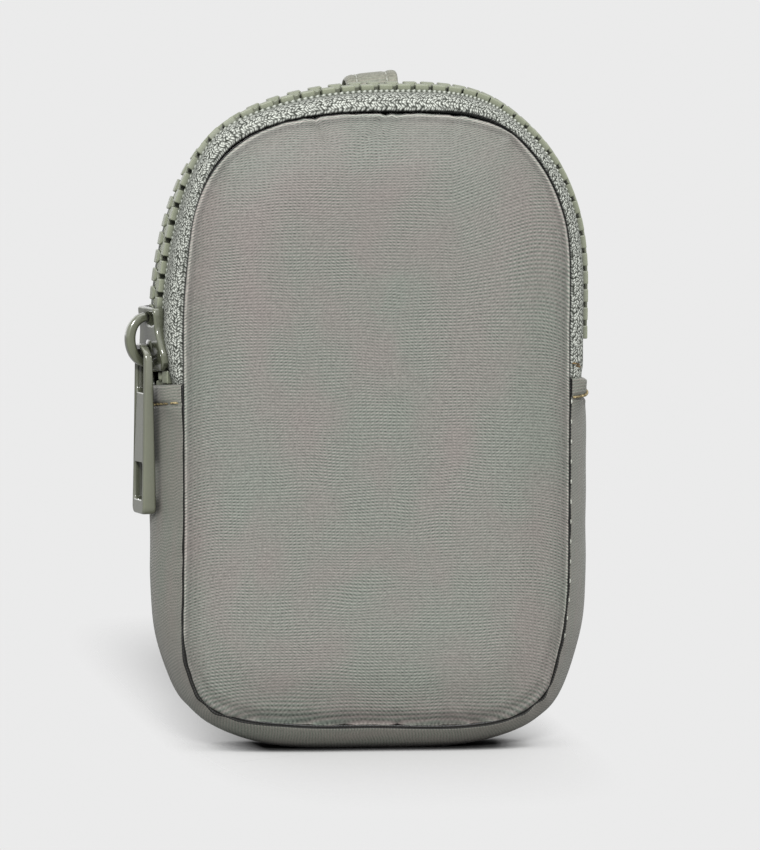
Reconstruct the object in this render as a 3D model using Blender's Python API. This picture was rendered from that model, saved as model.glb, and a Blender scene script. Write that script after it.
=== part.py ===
"""A small zip pouch in the shape of a backpack: padded arch-top panels, a zip gusset and a hang loop.

Metres, +Z up. X runs across the pouch, Y from its front to its back. The origin is on the floor under
the middle of the gusset.
"""
import math

import bmesh
import bpy
from mathutils import Matrix, Vector

# Driving dimensions: the crown line, the outline of the pouch at the widest part of its gusset
HALF_WIDTH = 0.0472
HEIGHT = 0.1431
ARCH_RISE = 0.0545
ARCH_POWER = 2.72
BASE_RISE = 0.042
BASE_FLAT_HALF = 0.006
BASE_POWER = 2.9

# The gusset's section, from the front seam over the crown to the back seam
HALF_DEPTH = 0.012
FRONT_INSET = 0.005
BACK_INSET = 0.002
CROWN_Y_SIDE = 0.0035
CROWN_Y_BASE = 0.001
BASE_FLAT_HALF_Y = 0.008
ZIP_FLAT_HALF = 0.0072
ZIP_INSET_SIDE = 0.0007
ZIP_INSET_TOP = 0.00035
ZIP_LEAN_SIDE = 0.12
ZIP_LEAN_TOP = -0.07
HEM_BLEND = 0.009

# Layers
CLEARANCE = 0.0003
SHELL = 0.0008
GUSSET_CLOTH = 0.0009
FOAM = 0.002
LINING = 0.0005
FRONT_CROWN = 0.0036
BACK_CROWN = 0.0016
CROWN_POWER = 6.0
FRONT_FOAM_MARGIN = 0.0028
BACK_FOAM_MARGIN = 0.0038
BINDING_MARGIN = 0.0005
BINDING_THICKNESS = 0.0006

# The fold where the gusset's cloth ends at the zip
HEM_Z = 0.0779
HEM_WIDTH = 0.0045
HEM_RISE = 0.0004
HEM_STEP = 0.0006
TAIL_LENGTH = 0.0048
GUSSET_SPACING = 0.006
LINING_SPACING = 0.0085
BINDING_SPACING = 0.0085

# Zip
TAPE = 0.0009
TAPE_DEPTH = 0.00035
TAPE_TO_TEETH = 0.00055
TAPE_STEP = 0.0002
TOOTH_PITCH = 0.00393
TOOTH_HALF_HEIGHT = 0.0014
TOOTH_BACK = 0.00385
TOOTH_TIP = 0.0011
TOOTH_ROOT_HALF = 0.0014
TOOTH_TIP_HALF = 0.00062
CORD_FAR = 0.0032
CORD_NEAR = 0.0019
CORD_HALF_HEIGHT = 0.0008
SPLIT = 0.0021
TEETH_ABOVE_HEM = 0.0024
TOOTH_SHOULDER = 0.00012
TAPE_DIP_NEAR = 0.0003
TAPE_DIP_FAR = 0.0025
TAPE_SPACING = 0.0058
TAPE_SPACING_PARTED = 0.0024
CHAIN_RIGHT_END_Z = 0.0883
STOP_LENGTH = 0.0016

# Slider, bail and puller
SLIDER_Z = 0.0885
SLIDER_LENGTH = 0.0135
SLIDER_PLATE = 0.001
SLIDER_PLAY = 0.00035
SLIDER_WALL = 0.0008
SLIDER_TAPE_PLAY = 0.0008
SLIDER_CORNER = 0.0012
SLIDER_WALL_SETBACK = 0.00004
SLIDER_STATIONS = (0.2, 0.0, -0.13, -0.26)
SLIDER_NECK_HALF = 0.0007
SLIDER_NECK_SETBACK = 0.0008
SLIDER_NECK_LENGTH = 0.0026
UNION_OVERLAP = 0.0002
LOCK_LENGTH = 0.0028
LOCK_MIDDLE = 0.0009
LOCK_HEIGHT = 0.0018
LOCK_HALF_WIDTH = 0.0013
BAIL_LENGTH = 0.0112
BAIL_WIRE = 0.0022
BAIL_OPENING = 0.0024
BAIL_MIDDLE = -0.0009
PULLER_LENGTH = 0.0365
PULLER_WIDTH = 0.0088
PULLER_THICKNESS = 0.0016
PULLER_FRAME = 0.0012
PULLER_TOP_WINDOW = 0.0092
PULLER_FOOT_WINDOW = 0.0078
PULLER_FOOT = 0.0032
PULLER_CORNER = 0.0011
PULLER_TOP_WINDOW_CORNER = 0.001
PULLER_FOOT_WINDOW_CORNER = 0.0006
PULLER_SEAT = 0.00175
PULLER_SWING_GAP = 0.00015

# The front panel folds forward here when the zip is open
FLAP_Z = 0.0973

# Hang loop
LOOP_WIDTH = 0.0112
LOOP_STRAP = 0.001
LOOP_GAP = 0.0046
LOOP_DROP = 0.0095
LOOP_RISE = 0.0031
LOOP_TURN_DROP = 0.0022
LOOP_STITCH_SHARE = 0.29
LOOP_STITCH_POINTS = 9

# Threads
THREAD = 0.0005
STITCH_MARGIN = 0.0006
TOPSTITCH_RISE = 0.0012
BAR_TACK_LENGTH = 0.0024
BAR_TACK_Z = 0.082

COLOURS = {
    "shell_cloth": ((0.275, 0.268, 0.246), 0.55, 0.0),
    "gusset_cloth": ((0.175, 0.175, 0.150), 0.55, 0.0),
    "lining_cloth": ((0.130, 0.132, 0.118), 0.8, 0.0),
    "foam": ((0.62, 0.61, 0.57), 0.95, 0.0),
    "zip_tape": ((0.40, 0.43, 0.37), 0.9, 0.0),
    "moulded_teeth": ((0.255, 0.270, 0.205), 0.4, 0.0),
    "painted_slider": ((0.215, 0.225, 0.165), 0.32, 0.0),
    "shell_thread": ((0.34, 0.335, 0.29), 0.8, 0.0),
    "tan_thread": ((0.42, 0.29, 0.17), 0.8, 0.0),
}


def clear_scene():
    for item in list(bpy.data.objects):
        bpy.data.objects.remove(item, do_unlink=True)


clear_scene()
pouch = bpy.data.collections.new("zip_pouch")
cutters = bpy.data.collections.new("cutters")
bpy.context.scene.collection.children.link(pouch)
bpy.context.scene.collection.children.link(cutters)


def material(name):
    found = bpy.data.materials.get(name)
    if found:
        return found
    colour, roughness, metallic = COLOURS[name]
    made = bpy.data.materials.new(name)
    made.use_nodes = True
    shader = made.node_tree.nodes["Principled BSDF"]
    shader.inputs["Base Color"].default_value = (*colour, 1.0)
    shader.inputs["Roughness"].default_value = roughness
    shader.inputs["Metallic"].default_value = metallic
    made.diffuse_color = (*colour, 1.0)
    return made


def add_piece(name, mesh, finish):
    piece = bpy.data.objects.new(name, mesh)
    pouch.objects.link(piece)
    mesh.materials.append(material(finish))
    return piece


# The crown line, as a closed curve that starts at the bottom centre and climbs the left side
def half_crown_line(steps=400):
    points = [(0.0, 0.0)]
    for i in range(steps + 1):
        angle = 0.5 * math.pi * i / steps
        across = math.sin(angle) ** (2 / BASE_POWER)
        up = 1 - math.cos(angle) ** (2 / BASE_POWER)
        points.append((-(BASE_FLAT_HALF + (HALF_WIDTH - BASE_FLAT_HALF) * across), BASE_RISE * up))
    for i in range(steps + 1):
        angle = 0.5 * math.pi * i / steps
        across = math.cos(angle) ** (2 / ARCH_POWER)
        up = math.sin(angle) ** (2 / ARCH_POWER)
        points.append((-HALF_WIDTH * across, HEIGHT - ARCH_RISE * (1 - up)))
    return points


def measured(points):
    """Running length along the points."""
    lengths = [0.0]
    for (x0, z0), (x1, z1) in zip(points, points[1:]):
        lengths.append(lengths[-1] + math.hypot(x1 - x0, z1 - z0))
    return lengths


HALF_LINE = half_crown_line()
HALF_LENGTHS = measured(HALF_LINE)
HALF_GIRTH = HALF_LENGTHS[-1]
GIRTH = 2 * HALF_GIRTH


def interpolate(value, keys, values):
    low, high = 0, len(keys) - 1
    while high - low > 1:
        middle = (low + high) // 2
        if keys[middle] <= value:
            low = middle
        else:
            high = middle
    span = keys[high] - keys[low]
    share = 0.0 if span == 0 else min(1.0, max(0.0, (value - keys[low]) / span))
    return values[low] + share * (values[high] - values[low])


LINE_X = [p[0] for p in HALF_LINE]
LINE_Z = [p[1] for p in HALF_LINE]


def crown_point(s):
    """The point of the crown line at the length s from the bottom centre, left side first."""
    s = s % GIRTH
    mirrored = s > HALF_GIRTH
    run = GIRTH - s if mirrored else s
    x = interpolate(run, HALF_LENGTHS, LINE_X)
    return Vector((-x if mirrored else x, 0.0, interpolate(run, HALF_LENGTHS, LINE_Z)))


def outward(s, reach=0.0015):
    """The crown line's outward direction, in the XZ plane."""
    along = crown_point(s + reach) - crown_point(s - reach)
    return Vector((-along.z, 0.0, along.x)).normalized()


def left_station(z):
    """The length s at which the left side reaches the height z."""
    return interpolate(z, LINE_Z, HALF_LENGTHS)


def right_station(z):
    return GIRTH - left_station(z)


def smooth_step(value, start, end):
    share = min(1.0, max(0.0, (value - start) / (end - start)))
    return share * share * (3 - 2 * share)


def section_shape(s):
    """The crown's place in Y and the half width of the flat beside it."""
    share = smooth_step(-outward(s).z, 0.2, 0.95)
    return CROWN_Y_SIDE + (CROWN_Y_BASE - CROWN_Y_SIDE) * share, BASE_FLAT_HALF_Y * share


LEFT_HEM = left_station(HEM_Z)
RIGHT_HEM = right_station(HEM_Z)


def cloth_inset(s, y):
    """The cloth's section: a crown that curves down to each seam."""
    crown_y, flat = section_shape(s)
    reach = (HALF_DEPTH - flat + crown_y) if y < crown_y else (HALF_DEPTH - flat - crown_y)
    drop = FRONT_INSET if y < crown_y else BACK_INSET
    turn = min(1.0, max(0.0, abs(y - crown_y) - flat) / reach)
    return drop * (1 - math.cos(0.5 * math.pi * turn))


def zip_inset(s, y):
    """The zip's section: flat beside the chain, which leans with the pouch, then bent to each seam."""
    rise = outward(s).z ** 2
    middle = ZIP_INSET_SIDE + (ZIP_INSET_TOP - ZIP_INSET_SIDE) * rise
    lean = ZIP_LEAN_SIDE + (ZIP_LEAN_TOP - ZIP_LEAN_SIDE) * rise
    seam = FRONT_INSET if y < 0 else BACK_INSET
    line_at_seam = middle - lean * math.copysign(HALF_DEPTH, y)
    bend = max(0.0, abs(y) - ZIP_FLAT_HALF) / (HALF_DEPTH - ZIP_FLAT_HALF)
    return middle - lean * y + (seam - line_at_seam) * bend ** 2


def gusset_inset(s, y):
    """How far inside the crown line the gusset's outer face lies at the depth y."""
    run = min(s % GIRTH, GIRTH - s % GIRTH)
    share = smooth_step(run, LEFT_HEM - HEM_BLEND, LEFT_HEM)
    return (1 - share) * cloth_inset(s, y) + share * zip_inset(s, y)


def skin(s, y, depth=0.0, step=0.0002):
    """A point of the gusset at the depth y, moved inward by the given depth below its outer face."""
    inset = gusset_inset(s, y)
    slope = (gusset_inset(s, y + step) - gusset_inset(s, y - step)) / (2 * step)
    scale = depth / math.hypot(1.0, slope)
    point = crown_point(s) - outward(s) * (inset + scale)
    point.y = y - scale * slope
    return point


def stations(start, end, spacing):
    count = max(2, math.ceil((end - start) / spacing))
    return [start + (end - start) * i / count for i in range(count + 1)]


def spread(start, end, count):
    return [start + (end - start) * i / (count - 1) for i in range(count)]


def finish_mesh(name, bm, finish):
    bmesh.ops.remove_doubles(bm, verts=bm.verts, dist=1e-7)
    bmesh.ops.recalc_face_normals(bm, faces=bm.faces)
    if bm.calc_volume(signed=True) < 0:
        bmesh.ops.reverse_faces(bm, faces=bm.faces)
    mesh = bpy.data.meshes.new(name)
    bm.to_mesh(mesh)
    bm.free()
    return add_piece(name, mesh, finish)


def loft_mesh(rings, closed=False):
    """A solid through rings of equally many points, with its two ends filled unless it is closed."""
    bm = bmesh.new()
    rows = [[bm.verts.new(point) for point in ring] for ring in rings]
    count = len(rows[0])
    pairs = list(zip(rows, rows[1:]))
    if closed:
        pairs.append((rows[-1], rows[0]))
    for before, after in pairs:
        for i in range(count):
            j = (i + 1) % count
            bm.faces.new((before[i], before[j], after[j], after[i]))
    if not closed:
        bm.faces.new(rows[0])
        bm.faces.new(list(reversed(rows[-1])))
    return bm


def band_mesh(places, depths_of, near_of, far_of, closed=False):
    """A strip of the gusset: its depths in Y and its two faces' depths below the skin, at each place."""
    rings = []
    for s in places:
        ys = depths_of(s)
        upper = [skin(s, y, near_of(s)) for y in ys]
        lower = [skin(s, y, far_of(s)) for y in reversed(ys)]
        rings.append(upper + lower)
    return loft_mesh(rings, closed)


def keep_part(bm, z, above):
    """Cuts a closed mesh at the height z and fills the cut."""
    side = 1.0 if above else -1.0
    bmesh.ops.bisect_plane(bm, geom=bm.verts[:] + bm.edges[:] + bm.faces[:], dist=1e-7,
                           plane_co=(0, 0, z), plane_no=(0, 0, -side), clear_outer=True)
    rim = [edge for edge in bm.edges if edge.is_boundary]
    bmesh.ops.holes_fill(bm, edges=rim, sides=0)
    return bm


# Front and back panels: layers between the seam and a spine, each with its own crown
PANEL_SPACING = {"fabric": 0.0068, "foam": 0.0088, "lining": 0.0088}
SPINE_LOW = 0.046
SPINE_HIGH = 0.094
RING_SHARES = {
    "fabric": (0.0, 0.035, 0.09, 0.18, 0.34, 0.6, 0.86),
    "foam": (0.0, 0.07, 0.22, 0.6),
    "lining": (0.0, 0.6),
}


def panel_mesh(layer, inset, near_y, far_y, near_crown, far_crown, direction):
    """A crowned layer of a panel; direction is -1 at the front and +1 at the back."""
    shares = RING_SHARES[layer]
    places = stations(0.0, GIRTH, PANEL_SPACING[layer])[:-1]
    edge = [crown_point(s) - outward(s) * inset for s in places]

    def ring(share, y, crown):
        level = y + direction * crown * (1 - (1 - share) ** CROWN_POWER)
        points = []
        for point in edge:
            spine = Vector((0.0, 0.0, min(SPINE_HIGH, max(SPINE_LOW, point.z))))
            placed = point.lerp(spine, share)
            placed.y = level
            points.append(placed)
        return points

    outer = [ring(share, near_y, near_crown) for share in reversed(shares)]
    inner = [ring(share, far_y, far_crown) for share in shares]
    return loft_mesh(outer + inner)


FRONT_LAYERS = {
    "fabric": (FRONT_INSET, -HALF_DEPTH, -HALF_DEPTH + SHELL, FRONT_CROWN, FRONT_CROWN, "shell_cloth"),
    "foam": (FRONT_INSET + FRONT_FOAM_MARGIN, -HALF_DEPTH + SHELL + CLEARANCE,
             -HALF_DEPTH + SHELL + CLEARANCE + FOAM, FRONT_CROWN - CLEARANCE, 0.0006, "foam"),
    "lining": (FRONT_INSET + FRONT_FOAM_MARGIN, -HALF_DEPTH + SHELL + 2 * CLEARANCE + FOAM,
               -HALF_DEPTH + SHELL + 2 * CLEARANCE + FOAM + LINING, 0.0003, 0.0003, "lining_cloth"),
}
BACK_LAYERS = {
    "fabric": (BACK_INSET, HALF_DEPTH, HALF_DEPTH - SHELL, BACK_CROWN, BACK_CROWN, "shell_cloth"),
    "foam": (BACK_INSET + BACK_FOAM_MARGIN, HALF_DEPTH - SHELL - CLEARANCE,
             HALF_DEPTH - SHELL - CLEARANCE - FOAM, BACK_CROWN - CLEARANCE, 0.0, "foam"),
    "lining": (BACK_INSET + BACK_FOAM_MARGIN, HALF_DEPTH - SHELL - 2 * CLEARANCE - FOAM,
               HALF_DEPTH - SHELL - 2 * CLEARANCE - FOAM - LINING, 0.0, 0.0, "lining_cloth"),
}


def build_panels():
    for layer, (inset, near_y, far_y, near_crown, far_crown, finish) in FRONT_LAYERS.items():
        for part, above in (("lower", False), ("upper", True)):
            cut = FLAP_Z + (0.5 if above else -0.5) * CLEARANCE
            bm = panel_mesh(layer, inset, near_y, far_y, near_crown, far_crown, -1)
            keep_part(bm, cut, above)
            finish_mesh(f"front_{part}_{layer}", bm, finish)
    for layer, (inset, near_y, far_y, near_crown, far_crown, finish) in BACK_LAYERS.items():
        bm = panel_mesh(layer, inset, near_y, far_y, near_crown, far_crown, 1)
        finish_mesh(f"back_panel_{layer}", bm, finish)


# Gusset: the cloth band round the bottom, its lining, and the bound seam allowances
EDGE_Y = HALF_DEPTH - SHELL - CLEARANCE
LINING_EDGE_Y = EDGE_Y - FOAM - LINING - 2 * CLEARANCE
TAIL_LEFT = left_station(HEM_Z - TAIL_LENGTH)
TAIL_RIGHT = right_station(HEM_Z - TAIL_LENGTH)


def lower_places(end_height, spacing):
    """Places from the right side round the bottom to the left side, both at the same height."""
    reach = left_station(end_height)
    return stations(-reach, reach, spacing)


def build_gusset():
    ys = spread(-EDGE_Y, EDGE_Y, 8)
    flat_places = [-BASE_FLAT_HALF, 0.0, BASE_FLAT_HALF]
    hem_foot = LEFT_HEM - HEM_WIDTH
    lower = stations(BASE_FLAT_HALF, hem_foot, GUSSET_SPACING)[1:]
    hem = [hem_foot + HEM_STEP, LEFT_HEM - HEM_STEP, LEFT_HEM]
    places = [-s for s in reversed(lower + hem)] + flat_places + lower + hem

    def near(s):
        return -HEM_RISE if hem_foot + 0.5 * HEM_STEP < abs(s) < LEFT_HEM - 0.5 * HEM_STEP else 0.0

    bm = band_mesh(places, lambda s: ys, near, lambda s: GUSSET_CLOTH)
    finish_mesh("gusset_fabric", bm, "gusset_cloth")

    inner_ys = spread(-LINING_EDGE_Y, LINING_EDGE_Y, 5)
    depth = GUSSET_CLOTH + CLEARANCE
    places = lower_places(HEM_Z - TAIL_LENGTH - CLEARANCE, LINING_SPACING)
    bm = band_mesh(places, lambda s: inner_ys, lambda s: depth, lambda s: depth + LINING)
    finish_mesh("gusset_lining", bm, "lining_cloth")


BINDING_DEPTH = GUSSET_CLOTH + CLEARANCE + TAPE + CLEARANCE


def binding_mesh(side):
    ys = [side * y for y in spread(EDGE_Y - BINDING_MARGIN, LINING_EDGE_Y + CLEARANCE, 2)]
    places = stations(0.0, GIRTH, BINDING_SPACING)[:-1]
    return band_mesh(places, lambda s: ys, lambda s: BINDING_DEPTH,
                     lambda s: BINDING_DEPTH + BINDING_THICKNESS, closed=True)


def build_bindings():
    finish_mesh("back_seam_binding", binding_mesh(1), "lining_cloth")
    for part, above in (("lower", False), ("upper", True)):
        cut = FLAP_Z + (0.5 if above else -0.5) * CLEARANCE
        finish_mesh(f"front_{part}_binding", keep_part(binding_mesh(-1), cut, above), "lining_cloth")


# Zip: two tapes along the arch, a row of moulded teeth on each, parted below the slider
SLIDER_PLACE = left_station(SLIDER_Z)
TEETH_START = LEFT_HEM + TEETH_ABOVE_HEM
TEETH_END = right_station(CHAIN_RIGHT_END_Z)
FLAP_LEFT = left_station(FLAP_Z)
FLAP_RIGHT = right_station(FLAP_Z)
CHAIN_DEPTH = TAPE_DEPTH + 0.5 * TAPE


def split_at(s):
    """How far each row stands off the chain's middle, below the slider's neck."""
    return SPLIT * (1 - smooth_step(s, SLIDER_PLACE - 0.4 * SLIDER_LENGTH, SLIDER_PLACE + 0.1 * SLIDER_LENGTH))


def tape_sink(s):
    """The tape's ends dip under the folded cloth."""
    under = GUSSET_CLOTH + CLEARANCE - TAPE_DEPTH
    left = 1 - smooth_step(s, LEFT_HEM + TAPE_DIP_NEAR, LEFT_HEM + TAPE_DIP_FAR)
    right = smooth_step(s, RIGHT_HEM - TAPE_DIP_FAR, RIGHT_HEM - TAPE_DIP_NEAR)
    return under * max(left, right)


def chain_frame(s):
    """Middle of the chain, with its directions along, across and out."""
    half = TOOTH_BACK
    depth = CHAIN_DEPTH + tape_sink(s)
    front = skin(s, -half, depth)
    back = skin(s, half, depth)
    across = (back - front).normalized()
    flat_out = outward(s)
    out = (flat_out - across * flat_out.dot(across)).normalized()
    along = across.cross(out)
    return 0.5 * (front + back), along, across, out


def tape_edge(s):
    """The tape's inner edge: beside the teeth, or at the middle where the tape is bare."""
    if s > TEETH_END + STOP_LENGTH + 2 * CLEARANCE + 0.5 * TAPE_STEP:
        return 0.5 * CLEARANCE
    return TOOTH_BACK + TAPE_TO_TEETH + split_at(s)


def tape_mesh(side, start, end):
    """One tape: short steps where the rows part at the slider, longer ones round the arch."""
    step_up = TEETH_END + STOP_LENGTH + 2 * CLEARANCE
    parting = SLIDER_PLACE + 0.2 * SLIDER_LENGTH
    marks = [start] + [s for s in (parting, step_up, step_up + TAPE_STEP) if start < s < end] + [end]
    places = [start]
    for low, high in zip(marks, marks[1:]):
        places += stations(low, high, TAPE_SPACING_PARTED if high <= parting else TAPE_SPACING)[1:]

    def depths(s):
        return [side * y for y in spread(EDGE_Y, tape_edge(s), 4)]

    return band_mesh(places, depths, lambda s: TAPE_DEPTH + tape_sink(s),
                     lambda s: TAPE_DEPTH + tape_sink(s) + TAPE)


def tooth_row_mesh(side, start, end, phase):
    """One unbroken row: a cord that swells into a tapered tooth at each pitch."""
    count = int((end - start) / TOOTH_PITCH)
    first = math.ceil((start - TEETH_START + TOOTH_ROOT_HALF) / TOOTH_PITCH - phase)
    rings = []

    def corner(s, across, height):
        middle, _, direction, out = chain_frame(s)
        return middle + direction * (side * (across + split_at(s))) + out * height

    def ring(s_root, s_tip, far, near, height):
        return [corner(s_root, far, height), corner(s_tip, near, height),
                corner(s_tip, near, -height), corner(s_root, far, -height)]

    cord = (CORD_FAR, CORD_NEAR, CORD_HALF_HEIGHT)
    for i in range(count + 2):
        middle = TEETH_START + (first + i + phase) * TOOTH_PITCH
        if middle - TOOTH_ROOT_HALF < start or middle + TOOTH_ROOT_HALF > end:
            continue
        low, high = middle - TOOTH_ROOT_HALF, middle + TOOTH_ROOT_HALF
        if not rings and low - start > 0.0002:
            rings.append(ring(start, start, *cord))
        rings.append(ring(low - TOOTH_SHOULDER, low - TOOTH_SHOULDER, *cord))
        rings.append(ring(low, middle - TOOTH_TIP_HALF, TOOTH_BACK, -TOOTH_TIP, TOOTH_HALF_HEIGHT))
        rings.append(ring(high, middle + TOOTH_TIP_HALF, TOOTH_BACK, -TOOTH_TIP, TOOTH_HALF_HEIGHT))
        rings.append(ring(high + TOOTH_SHOULDER, high + TOOTH_SHOULDER, *cord))
    return loft_mesh(rings)


def block_mesh(place, half_across, half_length, half_height):
    middle, along, across, out = chain_frame(place)
    bm = bmesh.new()
    bmesh.ops.create_cube(bm, size=1.0)
    pose = Matrix((along, across, out)).transposed().to_4x4()
    pose.translation = middle
    size = Matrix.Diagonal((2 * half_length, 2 * half_across, 2 * half_height, 1.0))
    bmesh.ops.transform(bm, matrix=pose @ size, verts=bm.verts)
    return bm


def build_zip():
    gap = 0.5 * CLEARANCE
    finish_mesh("rear_zip_tape", tape_mesh(1, TAIL_LEFT, TAIL_RIGHT), "zip_tape")
    finish_mesh("front_tape_left_end", tape_mesh(-1, TAIL_LEFT, FLAP_LEFT - gap), "zip_tape")
    finish_mesh("front_upper_tape", tape_mesh(-1, FLAP_LEFT + gap, FLAP_RIGHT - gap), "zip_tape")
    finish_mesh("front_tape_right_end", tape_mesh(-1, FLAP_RIGHT + gap, TAIL_RIGHT), "zip_tape")

    finish_mesh("rear_zip_teeth", tooth_row_mesh(1, TEETH_START, TEETH_END, 0.5), "moulded_teeth")
    left = tooth_row_mesh(-1, TEETH_START, FLAP_LEFT - gap, 0.0)
    finish_mesh("front_teeth_left_end", left, "moulded_teeth")
    upper = tooth_row_mesh(-1, FLAP_LEFT + gap, FLAP_RIGHT - gap, 0.0)
    finish_mesh("front_upper_teeth", upper, "moulded_teeth")
    right = tooth_row_mesh(-1, FLAP_RIGHT + gap, TEETH_END, 0.0)
    finish_mesh("front_teeth_right_end", right, "moulded_teeth")

    foot = TEETH_START - 0.5 * STOP_LENGTH - CLEARANCE
    foot_stop = block_mesh(foot, TOOTH_BACK + SPLIT - CLEARANCE, 0.5 * STOP_LENGTH, CORD_HALF_HEIGHT)
    finish_mesh("left_end_stop", foot_stop, "moulded_teeth")
    head = TEETH_END + 0.5 * STOP_LENGTH + CLEARANCE
    head_stop = block_mesh(head, TOOTH_BACK, 0.5 * STOP_LENGTH, TOOTH_HALF_HEIGHT)
    finish_mesh("right_end_stop", head_stop, "moulded_teeth")


# Slider: two plates joined by a neck, with walls that guide the chain; its own frame is the chain's
def slider_pose():
    middle, along, across, out = chain_frame(SLIDER_PLACE)
    pose = Matrix((along, across, out)).transposed().to_4x4()
    pose.translation = middle
    return pose


def extruded_mesh(outline, low, high):
    """A flat outline of (along, across) points, extruded from the height low to high."""
    lower = [Vector((a, b, low)) for a, b in outline]
    upper = [Vector((a, b, high)) for a, b in outline]
    return loft_mesh([lower, upper])


def slider_half_width(along):
    """The slider's half width outside: narrow where the chain leaves, wide at its mouths."""
    shoulder = SLIDER_STATIONS[-1] * SLIDER_LENGTH
    narrow = TOOTH_BACK + CLEARANCE + SLIDER_WALL
    wide = narrow + SPLIT
    if along > shoulder:
        return wide + (narrow - wide) * smooth_step(along, shoulder, SLIDER_STATIONS[0] * SLIDER_LENGTH)
    return wide


def slider_alongs():
    half = 0.5 * SLIDER_LENGTH - SLIDER_CORNER
    return [half] + [share * SLIDER_LENGTH for share in SLIDER_STATIONS] + [-half]


def slider_outline():
    half = 0.5 * SLIDER_LENGTH
    right = [(a, slider_half_width(a)) for a in slider_alongs()]
    right.insert(0, (half, right[0][1] - SLIDER_CORNER))
    right.append((-half, right[-1][1] - SLIDER_CORNER))
    return right + [(a, -b) for a, b in reversed(right)]


def temporary(bm, name):
    mesh = bpy.data.meshes.new(name)
    bmesh.ops.recalc_face_normals(bm, faces=bm.faces)
    bm.to_mesh(mesh)
    bm.free()
    item = bpy.data.objects.new(name, mesh)
    cutters.objects.link(item)
    item.hide_render = True
    item.display_type = "WIRE"
    return item


def join_with(piece, others, operation="UNION"):
    for other in others:
        step = piece.modifiers.new(other.name, "BOOLEAN")
        step.operation = operation
        step.solver = "EXACT"
        step.object = other


PLATE_FACE = TOOTH_HALF_HEIGHT + SLIDER_PLAY
PLATE_TOP = PLATE_FACE + SLIDER_PLATE


def wall_outline(side):
    alongs = slider_alongs()
    outer = [(a, side * (slider_half_width(a) - SLIDER_WALL_SETBACK)) for a in alongs]
    inner = [(a, side * (slider_half_width(a) - SLIDER_WALL)) for a in reversed(alongs)]
    return outer + inner


def build_slider():
    bm = extruded_mesh(slider_outline(), PLATE_FACE, PLATE_TOP)
    mesh = bpy.data.meshes.new("slider_body")
    bmesh.ops.recalc_face_normals(bm, faces=bm.faces)
    bm.to_mesh(mesh)
    bm.free()
    body = add_piece("slider_body", mesh, "painted_slider")
    pose = slider_pose()
    body.matrix_world = pose

    slot = 0.5 * TAPE + SLIDER_TAPE_PLAY
    overlap = UNION_OVERLAP
    extra = [temporary(extruded_mesh(slider_outline(), -PLATE_TOP, -PLATE_FACE), "inner_plate")]
    for side in (-1, 1):
        label = "front" if side < 0 else "back"
        outline = wall_outline(side)
        extra.append(temporary(extruded_mesh(outline, slot, PLATE_FACE + overlap), f"outer_wall_{label}"))
        extra.append(temporary(extruded_mesh(outline, -PLATE_FACE - overlap, -slot), f"inner_wall_{label}"))
    neck_foot = -0.5 * SLIDER_LENGTH + SLIDER_NECK_SETBACK
    neck = [(neck_foot, 0.4 * SLIDER_NECK_HALF), (neck_foot + 0.45 * SLIDER_NECK_LENGTH, SLIDER_NECK_HALF),
            (neck_foot + SLIDER_NECK_LENGTH, 0.25 * SLIDER_NECK_HALF)]
    neck += [(a, -b) for a, b in reversed(neck)]
    extra.append(temporary(extruded_mesh(neck, -PLATE_FACE - overlap, PLATE_FACE + overlap), "neck"))
    extra.append(temporary(lock_mesh(PLATE_TOP - overlap), "lock_cover"))
    for item in extra:
        item.matrix_world = pose
    join_with(body, extra)

    build_bail(pose)
    build_puller(pose)


def lock_mesh(foot):
    """The low rounded cover over the slider's lock, under the bail."""
    steps = 8
    middle = LOCK_MIDDLE
    profile = [(middle + 0.5 * LOCK_LENGTH * math.cos(math.pi * i / steps),
                foot + (LOCK_HEIGHT + UNION_OVERLAP) * math.sin(math.pi * i / steps)) for i in range(steps + 1)]
    rings = [[Vector((a, side * LOCK_HALF_WIDTH, h)) for a, h in profile] for side in (-1, 1)]
    return loft_mesh(rings)


BAIL_APEX = PLATE_TOP + BAIL_OPENING + 0.5 * BAIL_WIRE


def tube_object(name, points, diameter, finish, sides=2, cyclic=False):
    """A round wire through the points, made a mesh with its caps welded."""
    curve = bpy.data.curves.new(name + "_line", "CURVE")
    curve.dimensions = "3D"
    curve.bevel_depth = 0.5 * diameter
    curve.bevel_resolution = sides
    curve.use_fill_caps = True
    spline = curve.splines.new("POLY")
    spline.points.add(len(points) - 1)
    for place, point in zip(spline.points, points):
        place.co = (*point, 1.0)
    spline.use_cyclic_u = cyclic
    line = bpy.data.objects.new(name + "_line", curve)
    cutters.objects.link(line)
    graph = bpy.context.evaluated_depsgraph_get()
    mesh = bpy.data.meshes.new_from_object(line.evaluated_get(graph))
    mesh.name = name
    bpy.data.objects.remove(line, do_unlink=True)
    bm = bmesh.new()
    bm.from_mesh(mesh)
    bmesh.ops.remove_doubles(bm, verts=bm.verts, dist=1e-6)
    bmesh.ops.recalc_face_normals(bm, faces=bm.faces)
    bm.to_mesh(mesh)
    bm.free()
    mesh.materials.clear()
    piece = add_piece(name, mesh, finish)
    mesh.shade_smooth()
    return piece


def build_bail(pose):
    """A thick wire arch that stands on the outer plate."""
    steps = 14
    foot = PLATE_TOP + CLEARANCE
    half = 0.5 * (BAIL_LENGTH - BAIL_WIRE)
    points = []
    for i in range(steps + 1):
        angle = math.pi * i / steps
        points.append((BAIL_MIDDLE + half * math.cos(angle), 0.0, foot + (BAIL_APEX - foot) * math.sin(angle)))
    bail = tube_object("slider_bail", points, BAIL_WIRE, "painted_slider")
    bail.matrix_world = pose


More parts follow.
